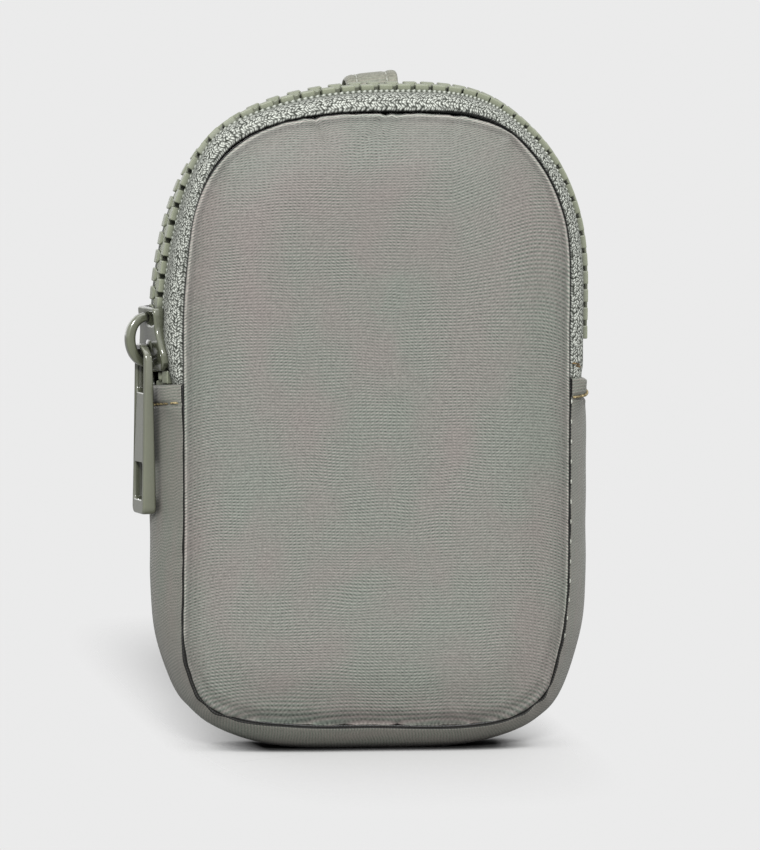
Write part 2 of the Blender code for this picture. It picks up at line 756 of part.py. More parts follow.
def rounded_rectangle(low, high, half_width, radius, steps=3):
    """Points (along, across) of a rounded rectangle."""
    points = []
    corners = ((high - radius, half_width - radius, 0), (low + radius, half_width - radius, 90),
               (low + radius, -half_width + radius, 180), (high - radius, -half_width + radius, 270))
    for along, across, start in corners:
        for i in range(steps + 1):
            angle = math.radians(start + 90 * i / steps)
            points.append((along + radius * math.cos(angle), across + radius * math.sin(angle)))
    return points


PULLER_AXIS_ALONG = BAIL_MIDDLE - 0.5 * BAIL_LENGTH + BAIL_WIRE + PULLER_SEAT + 0.5 * PULLER_FRAME
PULLER_AXIS_OUT = PLATE_TOP + PULLER_SWING_GAP + 0.5 * math.hypot(PULLER_FRAME, PULLER_THICKNESS)


def puller_pose(pose):
    """The puller hangs straight down from the bail, in line with the chain's slant."""
    axis_point = pose @ Vector((PULLER_AXIS_ALONG, 0.0, PULLER_AXIS_OUT))
    across = (pose.to_3x3() @ Vector((0, 1, 0))).normalized()
    up = Vector((0, 0, 1))
    across = (across - up * across.dot(up)).normalized()
    out = across.cross(up).normalized()
    if out.x > 0:
        out = -out
    frame = Matrix((up, across, out)).transposed().to_4x4()
    frame.translation = axis_point
    return frame


def flat_plate(name, outlines, thickness, finish):
    """A flat plate from its outline and the outlines of its windows."""
    curve = bpy.data.curves.new(name + "_outline", "CURVE")
    curve.dimensions = "2D"
    curve.fill_mode = "BOTH"
    curve.extrude = 0.5 * thickness
    for outline in outlines:
        spline = curve.splines.new("POLY")
        spline.points.add(len(outline) - 1)
        for place, (a, b) in zip(spline.points, outline):
            place.co = (a, b, 0.0, 1.0)
        spline.use_cyclic_u = True
    line = bpy.data.objects.new(name + "_outline", curve)
    cutters.objects.link(line)
    graph = bpy.context.evaluated_depsgraph_get()
    mesh = bpy.data.meshes.new_from_object(line.evaluated_get(graph))
    mesh.name = name
    bpy.data.objects.remove(line, do_unlink=True)
    bm = bmesh.new()
    bm.from_mesh(mesh)
    bmesh.ops.remove_doubles(bm, verts=bm.verts, dist=1e-6)
    bmesh.ops.recalc_face_normals(bm, faces=bm.faces)
    bm.to_mesh(mesh)
    bm.free()
    mesh.materials.clear()
    return add_piece(name, mesh, finish)


def build_puller(pose):
    top = 0.5 * PULLER_FRAME
    foot = top - PULLER_LENGTH
    half = 0.5 * PULLER_WIDTH
    body = rounded_rectangle(foot, top, half, PULLER_CORNER)
    upper_top = top - PULLER_FRAME
    upper = rounded_rectangle(upper_top - PULLER_TOP_WINDOW, upper_top, half - PULLER_FRAME,
                              PULLER_TOP_WINDOW_CORNER)
    lower_foot = foot + PULLER_FOOT
    lower = rounded_rectangle(lower_foot, lower_foot + PULLER_FOOT_WINDOW, half - PULLER_FRAME,
                              PULLER_FOOT_WINDOW_CORNER)
    puller = flat_plate("puller", (body, upper, lower), PULLER_THICKNESS, "painted_slider")
    puller.matrix_world = puller_pose(pose)


# Hang loop: a strap folded back on itself, sewn at the top of the back seam, drooping behind the panel
def strap_mesh(path, width, thickness):
    rings = []
    for i, point in enumerate(path):
        before = path[max(0, i - 1)]
        after = path[min(len(path) - 1, i + 1)]
        along = (after - before).normalized()
        side = Vector((0.0, -along.z, along.y)) * 0.5 * thickness
        half = Vector((0.5 * width, 0.0, 0.0))
        rings.append([point - half + side, point + half + side, point + half - side, point - half - side])
    return loft_mesh(rings)


def loop_root():
    """Where the loop leaves the seam: the top of the back edge."""
    place = HALF_GIRTH
    return Vector((0.0, EDGE_Y, skin(place, EDGE_Y).z + CLEARANCE))


def arc(centre_y, centre_z, radius_y, radius_z, start, end, steps):
    points = []
    for i in range(steps + 1):
        angle = math.radians(start + (end - start) * i / steps)
        points.append(Vector((0.0, centre_y + radius_y * math.cos(angle), centre_z + radius_z * math.sin(angle))))
    return points


def loop_path():
    root = loop_root()
    half = 0.5 * LOOP_STRAP
    inner_y = HALF_DEPTH + BACK_CROWN + CLEARANCE + half
    outer_y = inner_y + LOOP_GAP + LOOP_STRAP
    first = Vector((0.0, root.y + half, root.z))
    crest_z = root.z + LOOP_RISE - half
    crest_y = 0.5 * (first.y + outer_y)
    path = [first]
    path += arc(crest_y, root.z + 0.3 * LOOP_RISE, crest_y - first.y, crest_z - root.z - 0.3 * LOOP_RISE, 180, 0, 8)
    foot_z = root.z - LOOP_DROP
    radius = 0.5 * (outer_y - inner_y)
    path += arc(inner_y + radius, foot_z + radius, radius, radius, 0, -180, 6)
    last = Vector((0.0, first.y + LOOP_STRAP + CLEARANCE, root.z))
    path.append(Vector((0.0, inner_y, root.z - LOOP_TURN_DROP)))
    path.append(last)
    return path


def build_loop():
    path = loop_path()
    finish_mesh("hang_loop", strap_mesh(path, LOOP_WIDTH, LOOP_STRAP), "shell_cloth")
    lift = 0.5 * LOOP_STRAP + CLEARANCE + 0.5 * THREAD
    for side, label in ((-1, "left"), (1, "right")):
        line = []
        for before, point, after in zip(path, path[1:], path[2:]):
            along = (after - before).normalized()
            away = Vector((0.0, -along.z, along.y))
            line.append(point + away * lift + Vector((side * LOOP_STITCH_SHARE * LOOP_WIDTH, 0.0, 0.0)))
        tube_object(f"loop_stitch_{label}", line[1:1 + LOOP_STITCH_POINTS], THREAD, "shell_thread", sides=1)


# Threads on the gusset
def build_threads():
    lift = -HEM_RISE - CLEARANCE - 0.5 * THREAD
    for label, sign in (("left", 1), ("right", -1)):
        place = sign * (LEFT_HEM - HEM_WIDTH + TOPSTITCH_RISE)
        ys = spread(-EDGE_Y + STITCH_MARGIN, EDGE_Y - STITCH_MARGIN, 12)
        tube_object(f"{label}_topstitch", [skin(place, y, lift) for y in ys], THREAD, "tan_thread", sides=1)
    tack = right_station(BAR_TACK_Z)
    depth = TAPE_DEPTH - CLEARANCE - 0.5 * THREAD
    ys = spread(-EDGE_Y + STITCH_MARGIN, -EDGE_Y + STITCH_MARGIN + BAR_TACK_LENGTH, 4)
    tube_object("right_bar_tack", [skin(tack, y, depth) for y in ys], THREAD, "tan_thread", sides=1)


build_panels()
build_gusset()
build_bindings()
build_zip()
build_slider()
build_loop()
build_threads()
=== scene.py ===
"""The looks of a small zip pouch in the shape of a backpack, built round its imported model.

Metres, +Z up, the front towards -Y, the origin on the floor under the middle of the pouch.
"""
import math

import bpy
import numpy as np
from mathutils import Matrix, Vector


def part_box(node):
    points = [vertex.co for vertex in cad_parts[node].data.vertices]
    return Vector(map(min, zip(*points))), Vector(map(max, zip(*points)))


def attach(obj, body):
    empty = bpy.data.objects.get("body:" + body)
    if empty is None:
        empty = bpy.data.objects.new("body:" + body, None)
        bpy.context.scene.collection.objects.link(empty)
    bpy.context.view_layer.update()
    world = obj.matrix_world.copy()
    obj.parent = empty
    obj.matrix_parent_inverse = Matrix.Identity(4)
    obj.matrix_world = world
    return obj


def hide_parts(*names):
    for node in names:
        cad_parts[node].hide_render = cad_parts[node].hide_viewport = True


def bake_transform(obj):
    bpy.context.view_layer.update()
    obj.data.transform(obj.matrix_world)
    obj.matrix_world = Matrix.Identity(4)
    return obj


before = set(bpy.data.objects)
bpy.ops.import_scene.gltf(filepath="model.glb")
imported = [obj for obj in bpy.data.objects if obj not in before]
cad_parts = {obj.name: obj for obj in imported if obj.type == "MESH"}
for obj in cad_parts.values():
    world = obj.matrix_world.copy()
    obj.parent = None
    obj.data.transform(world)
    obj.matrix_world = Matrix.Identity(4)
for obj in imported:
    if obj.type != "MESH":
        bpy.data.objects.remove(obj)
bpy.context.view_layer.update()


# Panels: satin nylon over foam, crowned, rolled in at the seam and puckered where the seam pulls.
# The cloth has fine wavy cross lines that shimmer between pink and green, and they bend down where
# it rolls over the padded edge. The back panel is made the same way and is flatter.
HALF_WIDTH = 0.0472
HEIGHT = 0.1431
ARCH_RISE = 0.0545
ARCH_POWER = 2.72
BASE_RISE = 0.042
BASE_FLAT_HALF = 0.006
BASE_POWER = 2.9
LEAN_SHOULDER = 0.0010
LEAN_SHOULDER_Z = (0.088, 0.116)
LEAN_TOP = 0.0045
LEAN_TOP_FROM = 0.13
BASE_SWELL = 0.0009
BASE_SWELL_Z = 0.0085
BASE_SWELL_REACH = 0.006
BASE_SWELL_X = (0.018, 0.034)
HALF_DEPTH = 0.012
BACK_INSET = 0.002
CLEARANCE = 0.0003
TURN = 2 * math.pi
MM = 1000


def smooth_step(value, start, end):
    """0 before start, 1 after end, and a soft rise between them."""
    share = np.clip((value - start) / (end - start), 0.0, 1.0)
    return share * share * (3 - 2 * share)


def as_points(*parts):
    """Numbers or grids joined into points, or into the coordinates of a weave."""
    return np.stack(np.broadcast_arrays(*parts), -1)


def half_crown_line(steps=700):
    """The left half of the outline, from the bottom centre to the top: a rounded base and an arch."""
    angle = np.linspace(0, 0.5 * math.pi, steps)
    low_x = BASE_FLAT_HALF + (HALF_WIDTH - BASE_FLAT_HALF) * np.sin(angle) ** (2 / BASE_POWER)
    low_z = BASE_RISE * (1 - np.abs(np.cos(angle)) ** (2 / BASE_POWER))
    high_x = HALF_WIDTH * np.abs(np.cos(angle)) ** (2 / ARCH_POWER)
    high_z = HEIGHT - ARCH_RISE * (1 - np.sin(angle) ** (2 / ARCH_POWER))
    return -np.concatenate([[0.0], low_x, high_x]), np.concatenate([[0.0], low_z, high_z])


# The crown line is the pouch's outline at the widest part of its gusset. Every sewn piece is
# placed by its length s along that line, from the bottom centre up the left side and round.
LINE_X, LINE_Z = half_crown_line()
LINE_LENGTHS = np.concatenate([[0.0], np.cumsum(np.hypot(np.diff(LINE_X), np.diff(LINE_Z)))])
HALF_GIRTH = LINE_LENGTHS[-1]
GIRTH = 2 * HALF_GIRTH


def lean(z):
    """The arch leans a little to the right, most at its top."""
    top = np.clip((z - LEAN_TOP_FROM) / (HEIGHT - LEAN_TOP_FROM), 0, 1)
    return LEAN_SHOULDER * smooth_step(z, *LEAN_SHOULDER_Z) + LEAN_TOP * top ** 3


def swell(x, z):
    """The bottom corners bulge a little."""
    level = np.exp(-((z - BASE_SWELL_Z) / BASE_SWELL_REACH) ** 2)
    return BASE_SWELL * level * smooth_step(np.abs(x), *BASE_SWELL_X)


def crown(s):
    """The crown line's x and z at the length s."""
    s = np.mod(s, GIRTH)
    mirrored = s > HALF_GIRTH
    run = np.where(mirrored, GIRTH - s, s)
    x = np.interp(run, LINE_LENGTHS, LINE_X)
    z = np.interp(run, LINE_LENGTHS, LINE_Z)
    x = x - swell(x, z)
    return np.where(mirrored, -x, x) + lean(z), z


def outward(s, reach=0.0015):
    """The direction square to the crown line, as x and z."""
    x0, z0 = crown(s - reach)
    x1, z1 = crown(s + reach)
    size = np.hypot(x1 - x0, z1 - z0)
    return -(z1 - z0) / size, (x1 - x0) / size


# Inset of the front seam from the crown line, in millimetres, at its length from the bottom centre
SEAM_PLACES = (
    (0, 5.1), (21, 5.0), (29, 3.9), (35, 2.75), (41, 2.45), (49, 2.75), (57, 3.9), (66, 5.3), (83, 5.6),
    (126, 5.5), (139, 5.1), (151, 3.9), (160, 3.6), (169, 4.0), (184, 4.7), (192, 5.4), (200, 5.8),
    (216, 5.95), (230, 5.4), (239, 4.3), (245, 4.4), (264, 4.9), (278, 5.3), (308, 5.2), (329, 5.3),
    (353, 5.5), (359, 5.2), (365, 4.8), (373, 3.8), (379, 3.3), (384, 3.3), (390, 4.0), (398, 4.5),
)
SEAM_SMOOTHING = 0.0022


def seam_table(steps=1200):
    places, insets = np.array(SEAM_PLACES).T / MM
    runs = np.arange(steps) * GIRTH / steps
    values = np.interp(runs, places, insets, period=GIRTH)
    gap = np.minimum(runs, GIRTH - runs)
    weights = np.exp(-0.5 * (gap / SEAM_SMOOTHING) ** 2)
    smooth = np.real(np.fft.ifft(np.fft.fft(values) * np.fft.fft(weights / weights.sum())))
    return runs, smooth


SEAM_RUNS, SEAM_INSETS = seam_table()


def front_inset(s):
    """How far the front seam lies inside the crown line."""
    return np.interp(np.mod(s, GIRTH), SEAM_RUNS, SEAM_INSETS, period=GIRTH)


def back_inset(s):
    return BACK_INSET + 0 * np.asarray(s, float)


class Finish:
    """A surface, built up one shader node a call."""
    def __init__(self, name, roughness, specular=0.5):
        self.material = bpy.data.materials.new(name)
        self.material.use_nodes = True
        self.tree = self.material.node_tree
        self.shader = self.tree.nodes["Principled BSDF"]
        self.set("Roughness", roughness)
        self.set("Specular IOR Level", specular)

    def put(self, socket, value):
        if isinstance(value, bpy.types.NodeSocket):
            self.tree.links.new(value, socket)
        else:
            socket.default_value = value

    def set(self, name, value):
        self.put(self.shader.inputs[name], value)

    def node(self, kind, **settings):
        made = self.tree.nodes.new(kind)
        for key, value in settings.items():
            setattr(made, key, value)
        return made

    def math(self, operation, a, b=0.0, c=0.0):
        made = self.node("ShaderNodeMath", operation=operation)
        for socket, value in zip(made.inputs, (a, b, c)):
            self.put(socket, value)
        return made.outputs[0]

    def weave(self):
        """The piece's own cloth coordinates in millimetres, as three numbers and as a vector."""
        source = self.node("ShaderNodeAttribute", attribute_name="weave").outputs["Vector"]
        parts = self.node("ShaderNodeSeparateXYZ")
        self.put(parts.inputs[0], source)
        return (*parts.outputs, source)

    def place(self):
        """The point in the object, in metres."""
        return self.node("ShaderNodeTexCoord").outputs["Object"]

    def noise(self, vector, scale, detail=2.0, roughness=0.5):
        made = self.node("ShaderNodeTexNoise")
        self.put(made.inputs["Vector"], vector)
        self.put(made.inputs["Scale"], scale)
        self.put(made.inputs["Detail"], detail)
        self.put(made.inputs["Roughness"], roughness)
        return made.outputs["Fac"]

    def remap(self, value, low, high, to_low, to_high):
        made = self.node("ShaderNodeMapRange")
        for socket, number in zip(made.inputs, (value, low, high, to_low, to_high)):
            self.put(socket, number)
        return made.outputs[0]

    def mix(self, share, first, second):
        made = self.node("ShaderNodeMix", data_type="RGBA")
        self.put(made.inputs[0], share)
        self.put(made.inputs[6], first if not isinstance(first, tuple) else (*first, 1.0))
        self.put(made.inputs[7], second if not isinstance(second, tuple) else (*second, 1.0))
        return made.outputs[2]

    def brighten(self, colour, factor):
        """The colour times a factor."""
        made = self.node("ShaderNodeVectorMath", operation="SCALE")
        self.put(made.inputs[0], colour)
        self.put(made.inputs["Scale"], factor)
        return made.outputs[0]

    def level(self, value, *stops):
        """A smooth curve through (value, level) stops."""
        made = self.node("ShaderNodeFloatCurve")
        curve = made.mapping.curves[0]
        low, high = stops[0][0], stops[-1][0]
        for k, (at, result) in enumerate(stops):
            spot = ((at - low) / (high - low), result)
            if k in (0, len(stops) - 1):
                curve.points[0 if k == 0 else -1].location = spot
            else:
                curve.points.new(*spot)
        made.mapping.update()
        self.put(made.inputs["Value"], self.remap(value, low, high, 0.0, 1.0))
        return made.outputs[0]

    def painted_gap_shade(self, reach, dark):
        """Painted shade: 1 on open surfaces, down to the level dark in gaps narrower than the reach."""
        made = self.node("ShaderNodeAmbientOcclusion", samples=6)
        made.inputs["Distance"].default_value = reach
        return self.remap(made.outputs["AO"], 0.25, 0.95, dark, 1.0)

    def bump(self, height, distance, strength=1.0):
        made = self.node("ShaderNodeBump")
        self.put(made.inputs["Height"], height)
        self.put(made.inputs["Distance"], distance)
        self.put(made.inputs["Strength"], strength)
        self.set("Normal", made.outputs[0])


def srgb(red, green, blue):
    """A linear colour from the 0 to 255 values of a screen."""
    def channel(value):
        value /= 255
        return value / 12.92 if value <= 0.04045 else ((value + 0.055) / 1.055) ** 2.4
    return channel(red), channel(green), channel(blue)


LINE_PITCH = 0.667
ZIGZAG_PITCH = 0.93
FLAT_LEVEL = 0.6


def shell_finish(name, pink, green, line_depth, zigzag, slant=0.0, rim=1.65, dark=0.06):
    """Satin nylon: cross lines broken into dashes, painted shade in the seam and a painted highlight on the
    rim of its fold.
    """
    cloth = Finish(name, 0.52, 0.35)
    u, v, edge, place = cloth.weave()
    # Painted light: rim sets the strength of a painted highlight on the fold's rim, and dark is the width
    # of the painted shade in the seam.
    light = FLAT_LEVEL * rim
    seam = cloth.level(edge, (0.0, 0.06), (dark, 0.08), (dark + 0.08, light), (dark + 0.3, light),
                       (dark + 0.5, 0.55), (1.8, FLAT_LEVEL))
    seam = cloth.math("DIVIDE", seam, FLAT_LEVEL)
    wander = cloth.noise(place, 0.05, 1.0)
    wobble = cloth.math("MULTIPLY", cloth.noise(place, 0.35, 1.0), 0.8)
    phase = cloth.math("MULTIPLY_ADD", v, 1 / LINE_PITCH, cloth.math("MULTIPLY", u, slant))
    phase = cloth.math("MULTIPLY_ADD", wander, 3.0, phase)
    turn = cloth.math("MULTIPLY_ADD", u, 1 / ZIGZAG_PITCH, wobble)
    line = cloth.math("SINE", cloth.math("MULTIPLY", phase, TURN))
    rising = cloth.math("SINE", cloth.math("MULTIPLY", cloth.math("ADD", phase, turn), TURN))
    falling = cloth.math("SINE", cloth.math("MULTIPLY", cloth.math("SUBTRACT", phase, turn), TURN))
    side = cloth.remap(cloth.noise(place, 0.12, 1.0), 0.4, 0.6, 0.2, 1.0)
    dashes = cloth.math("ADD", cloth.math("MULTIPLY", rising, side),
                        cloth.math("MULTIPLY", falling, cloth.math("SUBTRACT", 1.2, side)))
    line = cloth.math("MULTIPLY_ADD", dashes, zigzag, line)
    patch = cloth.remap(cloth.noise(place, 0.09, 2.0), 0.35, 0.65, 0.55, 1.0)
    shimmer = cloth.math("SINE", cloth.math("MULTIPLY_ADD", phase, TURN, 2.1))
    shimmer = cloth.math("MULTIPLY", shimmer, patch)
    cloud = cloth.noise(place, 0.045, 2.0)
    grain = cloth.noise(place, 1.9, 2.0, 0.6)
    tint = cloth.math("MULTIPLY_ADD", shimmer, 0.45, cloth.remap(cloud, 0.3, 0.7, 0.1, 0.9))
    lines = cloth.math("MULTIPLY", line, patch)
    value = cloth.math("MULTIPLY_ADD", lines, line_depth, 1.0)
    value = cloth.math("MULTIPLY_ADD", cloth.math("SUBTRACT", grain, 0.5), 1.05, value)
    value = cloth.math("MULTIPLY", value, seam)
    # Painted shade in creases and narrow gaps.
    value = cloth.math("MULTIPLY", value, cloth.painted_gap_shade(0.0016, 0.35))
    cloth.set("Base Color", cloth.brighten(cloth.mix(tint, pink, green), value))
    cloth.set("Sheen Weight", 0.12)
    cloth.set("Sheen Roughness", 0.4)
    threads = cloth.math("MULTIPLY_ADD", lines, 0.5, grain)
    cloth.bump(threads, 0.00005, 0.8)
    return cloth.material


SHELL_PINK = srgb(135, 127, 123)
SHELL_GREEN = srgb(123, 130, 121)
shell_cloth = shell_finish("shell_cloth", SHELL_PINK, SHELL_GREEN, 0.3, 0.6)


def add_mesh(name, points, faces, material, weave=None, smooth=True):
    """A piece from points and faces. weave is where its cloth lies, in millimetres, for the materials."""
    mesh = bpy.data.meshes.new(name)
    mesh.from_pydata(np.asarray(points).reshape(-1, 3).tolist(), [], faces)
    mesh.update()
    if weave is not None:
        layer = mesh.attributes.new("weave", "FLOAT_VECTOR", "POINT")
        layer.data.foreach_set("vector", np.asarray(weave, np.float32).reshape(-1))
    if smooth:
        mesh.shade_smooth()
    mesh.materials.append(material)
    piece = bpy.data.objects.new(name, mesh)
    bpy.context.scene.collection.objects.link(piece)
    return piece


def grid_faces(rows, columns, close_rows, close_columns, start=0):
    """Four-sided faces between the rows and columns of a grid of points."""
    index = np.arange(rows * columns).reshape(rows, columns) + start
    i = np.arange(rows if close_rows else rows - 1)
    j = np.arange(columns if close_columns else columns - 1)
    a = index[np.ix_(i, j)]
    b = index[np.ix_(i, (j + 1) % columns)]
    c = index[np.ix_((i + 1) % rows, (j + 1) % columns)]
    d = index[np.ix_((i + 1) % rows, j)]
    return np.stack([a, b, c, d], -1).reshape(-1, 4).tolist()


def turn_outward(piece):
    """Faces that enclose a volume are made to look out of it."""
    mesh = piece.data
    count = len(mesh.vertices)
    points = np.empty(count * 3)
    mesh.vertices.foreach_get("co", points)
    points = points.reshape(-1, 3)
    mesh.calc_loop_triangles()
    corners = np.empty(len(mesh.loop_triangles) * 3, int)
    mesh.loop_triangles.foreach_get("vertices", corners)
    a, b, c = (points[corners.reshape(-1, 3)[:, k]] for k in range(3))
    if np.einsum("ij,ij->i", a, np.cross(b, c)).sum() < 0:
        mesh.flip_normals()


FRONT_CROWN = 0.0038
BACK_CROWN = 0.0016
SEAM_ROLL = 0.0011
SEAM_GAP = 0.0002
SEAM_GAP_TOP = 0.0003
BORDER_START = 0.0012
BORDER_END = 0.0036
BORDER_RISE = 0.0011
SPINE_LOW = 0.046
SPINE_HIGH = 0.094
PANEL_BACK_Y = 0.0089
# Creases: place along the seam, slope away from it, depth
TOP_CREASES = (
    (-0.0188, 0.4, 0.0008), (-0.0035, -0.9, 0.0008), (-0.0006, -0.6, 0.0005), (0.013, 0.3, 0.0003),
)
BOTTOM_CREASES = (
    (-0.0145, 0.2, 0.0003), (-0.0064, -0.2, 0.00035), (0.0048, 0.3, 0.0004),
    (0.0146, -0.3, 0.00035), (0.018, 0.2, 0.0003), (0.0222, 0.3, 0.0004),
)
TRIAL_ROWS = 16
TRIAL_STEP = 0.0009
TRIAL_SCALE = 20.0
TRIAL_FRAMES = 20
TRIAL_FADE = 0.003
CLOTH_SLACK = 0.03
SLACK_LIMIT = 0.0006
CREASE_WIDTH = 0.0009
CREASE_LENGTH = 0.0042
CREASE_LINE_DIP = 1800
PUCKER_DEPTH = 0.00006
END_PUCKER_DEPTH = 0.00011
PUCKER_PITCH = 0.0073
PUCKER_DRIFT = 0.031
FINE_PUCKER_PITCH = 0.0041
PUCKER_REACH = 0.0032
SIDE_STITCH_PITCH = 0.0043
SIDE_STITCH_PULL = 0.0001
SIDE_STITCH_REACH = 0.0016
LINE_BEND = 2.6
LINE_BEND_REACH = 0.0036
LINE_TURN = 340
LINE_TURN_FROM = 0.016
LINE_TURN_Z = (0.085, 0.125)


def panel_shares(count=30):
    """From the seam to the spine, closest together at the seam."""
    return np.linspace(0.0, 1.0, count) ** 2.1


def creases(s, edge, marks, origin, direction):
    """Sharp folds that run from the seam into the panel and fade."""
    total = np.zeros(np.broadcast(s, edge).shape)
    for place, slope, depth in marks:
        middle = origin + direction * place + slope * edge
        gap = (np.mod(s - middle + 0.5 * GIRTH, GIRTH) - 0.5 * GIRTH) / CREASE_WIDTH
        total += depth * np.exp(-gap ** 2) * np.exp(-edge / CREASE_LENGTH)
    return total


def seam_puckers(s, edge):
    """How far the cloth is drawn in near the seam."""
    up = outward(s)[1]
    level = np.abs(up) ** 2
    ripple = 0.5 + 0.5 * np.sin(TURN * s / PUCKER_PITCH + 1.7 * np.sin(TURN * s / PUCKER_DRIFT))
    ripple += 0.4 * np.sin(TURN * s / FINE_PUCKER_PITCH + 2.0)
    drawn = (PUCKER_DEPTH + END_PUCKER_DEPTH * level) * ripple * np.exp(-edge / PUCKER_REACH)
    drawn = drawn + creases(s, edge, TOP_CREASES, HALF_GIRTH, 1)
    drawn = drawn + creases(s, edge, BOTTOM_CREASES, 0.0, -1)
    right_side = smooth_step(s, 0.56 * GIRTH, 0.72 * GIRTH) * smooth_step(GIRTH - s, 0.03, 0.06)
    stitched = np.maximum(0.0, np.cos(TURN * s / SIDE_STITCH_PITCH)) ** 4
    return drawn + SIDE_STITCH_PULL * right_side * stitched * np.exp(-edge / SIDE_STITCH_REACH)


def border_grid(outer, edge):
    """The panel's border as an even grid of points, rows at TRIAL_STEP from the seam inward."""
    rows = np.arange(TRIAL_ROWS) * TRIAL_STEP
    points = np.empty((TRIAL_ROWS, outer.shape[1], 3))
    for column in range(outer.shape[1]):
        for axis in range(3):
            points[:, column, axis] = np.interp(rows, edge[:, column], outer[:, column, axis])
    return rows, points


def slack(outer, edge):
    """The border's cloth has a little slack over its foam: how far it moves when it settles."""
    rows, points = border_grid(outer, edge)
    points = points[:, ::2]
    count = points.shape[1]
    mesh = bpy.data.meshes.new("trial_cloth")
    faces = grid_faces(TRIAL_ROWS, count, False, True)
    mesh.from_pydata((points * TRIAL_SCALE).reshape(-1, 3).tolist(), [], faces)
    trial = bpy.data.objects.new("trial_cloth", mesh)
    bpy.context.scene.collection.objects.link(trial)
    held = trial.vertex_groups.new(name="held")
    for row in range(TRIAL_ROWS):
        weight = 1.0 if row in (0, TRIAL_ROWS - 1) else 0.0
        held.add(list(range(row * count, (row + 1) * count)), weight, "REPLACE")
    cloth = trial.modifiers.new("cloth", "CLOTH")
    cloth.settings.quality = 6
    cloth.settings.mass = 0.2
    cloth.settings.tension_stiffness = 20
    cloth.settings.compression_stiffness = 20
    cloth.settings.shear_stiffness = 5
    cloth.settings.bending_stiffness = 0.4
    cloth.settings.shrink_min = -CLOTH_SLACK
    cloth.settings.use_pressure = True
    cloth.settings.uniform_pressure_force = 4
    cloth.settings.effector_weights.gravity = 0
    cloth.settings.vertex_group_mass = "held"
    cloth.point_cache.frame_start = 1
    cloth.point_cache.frame_end = TRIAL_FRAMES
    scene = bpy.context.scene
    for frame_number in range(1, TRIAL_FRAMES + 1):
        scene.frame_set(frame_number)
    settled = trial.evaluated_get(bpy.context.evaluated_depsgraph_get()).to_mesh()
    places = np.empty(len(settled.vertices) * 3)
    settled.vertices.foreach_get("co", places)
    moved = places.reshape(TRIAL_ROWS, count, 3) / TRIAL_SCALE - points
    bpy.data.objects.remove(trial, do_unlink=True)
    scene.frame_set(1)
    size = np.linalg.norm(moved, axis=-1, keepdims=True)
    moved *= np.minimum(1.0, SLACK_LIMIT / np.maximum(size, 1e-9))
    moved *= 1 - smooth_step(rows, TRIAL_FADE, rows[-1])[:, None, None]
    moved = np.repeat(moved, 2, axis=1)
    moved = 0.5 * (moved + np.roll(moved, -1, axis=1))[:, :outer.shape[1]]
    result = np.empty(outer.shape)
    for column in range(outer.shape[1]):
        for axis in range(3):
            result[:, column, axis] = np.interp(edge[:, column], rows, moved[:, column, axis], right=0.0)
    return result


def panel_edge(places, inside):
    """The panel's edge at an inset from the crown line, and the spine height that each point runs to."""
    x, z = crown(places)
    across, up = outward(places)
    edge_x, edge_z = x - across * inside, z - up * inside
    return edge_x, edge_z, np.clip(edge_z, SPINE_LOW, SPINE_HIGH)


def panel_piece(name, inset, crown_height, direction, material):
    """A padded panel: its cloth from the seam to the spine, and a plain face behind the foam."""
    places = np.linspace(0.0, GIRTH, 360, endpoint=False)[None, :]
    shares = panel_shares()[:, None]
    across, up = outward(places)
    inside = inset(places) + SEAM_GAP + SEAM_GAP_TOP * smooth_step(up, 0.1, 0.6)
    edge_x, edge_z, spine_z = panel_edge(places, inside)
    reach = np.hypot(edge_x, edge_z - spine_z)
    edge = shares * reach
    puckers = seam_puckers(places, edge)
    roll = np.sqrt(np.clip(1 - (1 - np.minimum(edge / SEAM_ROLL, 1.0)) ** 2, 0.0, 1.0))
    rise = crown_height * (1 - (1 - shares) ** 6) * 0.75 + SEAM_ROLL * 0.9 * roll
    low_edge = 0.45 + 0.55 * smooth_step(-up, -0.3, 0.7)
    rise = rise + BORDER_RISE * low_edge * (smooth_step(edge, BORDER_START, BORDER_END) - 1) - puckers
    shrink = 1 - shares
    px = edge_x * shrink + across * 0.25 * puckers * shrink
    pz = spine_z + (edge_z - spine_z) * shrink - up * 0.6 * puckers * shrink
    py = direction * (HALF_DEPTH - CLEARANCE + rise)
    outer = as_points(px, py, pz)
    outer = outer + slack(outer, edge)
    inner = outer.copy()
    inner[..., 1] = direction * PANEL_BACK_Y
    bend = LINE_BEND * np.exp(-edge / LINE_BEND_REACH)
    turn = LINE_TURN * np.maximum(0, px - LINE_TURN_FROM) * smooth_step(pz, *LINE_TURN_Z)
    dip = CREASE_LINE_DIP * puckers * smooth_step(up, -0.2, 0.6)
    weave = as_points(px * MM, pz * MM + bend - turn + dip, edge * MM)
    rows = np.concatenate([outer[::-1], inner])
    coordinates = np.concatenate([weave[::-1], weave])
    faces = grid_faces(*rows.shape[:2], False, True)
    piece = add_mesh(name, rows, faces, material, coordinates)
    turn_outward(piece)
    return piece


def follow_fold(piece):
    """The piece's placement is baked into its points; it is not bent."""
    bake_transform(piece)


front_panel = panel_piece("front_panel", front_inset, FRONT_CROWN, -1, shell_cloth)
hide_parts("front_lower_fabric", "front_upper_fabric", "front_lower_foam", "front_upper_foam")
follow_fold(front_panel)
back_panel = panel_piece("back_panel", back_inset, BACK_CROWN, 1, shell_cloth)
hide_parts("back_panel_fabric", "back_panel_foam")
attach(back_panel, "pouch")


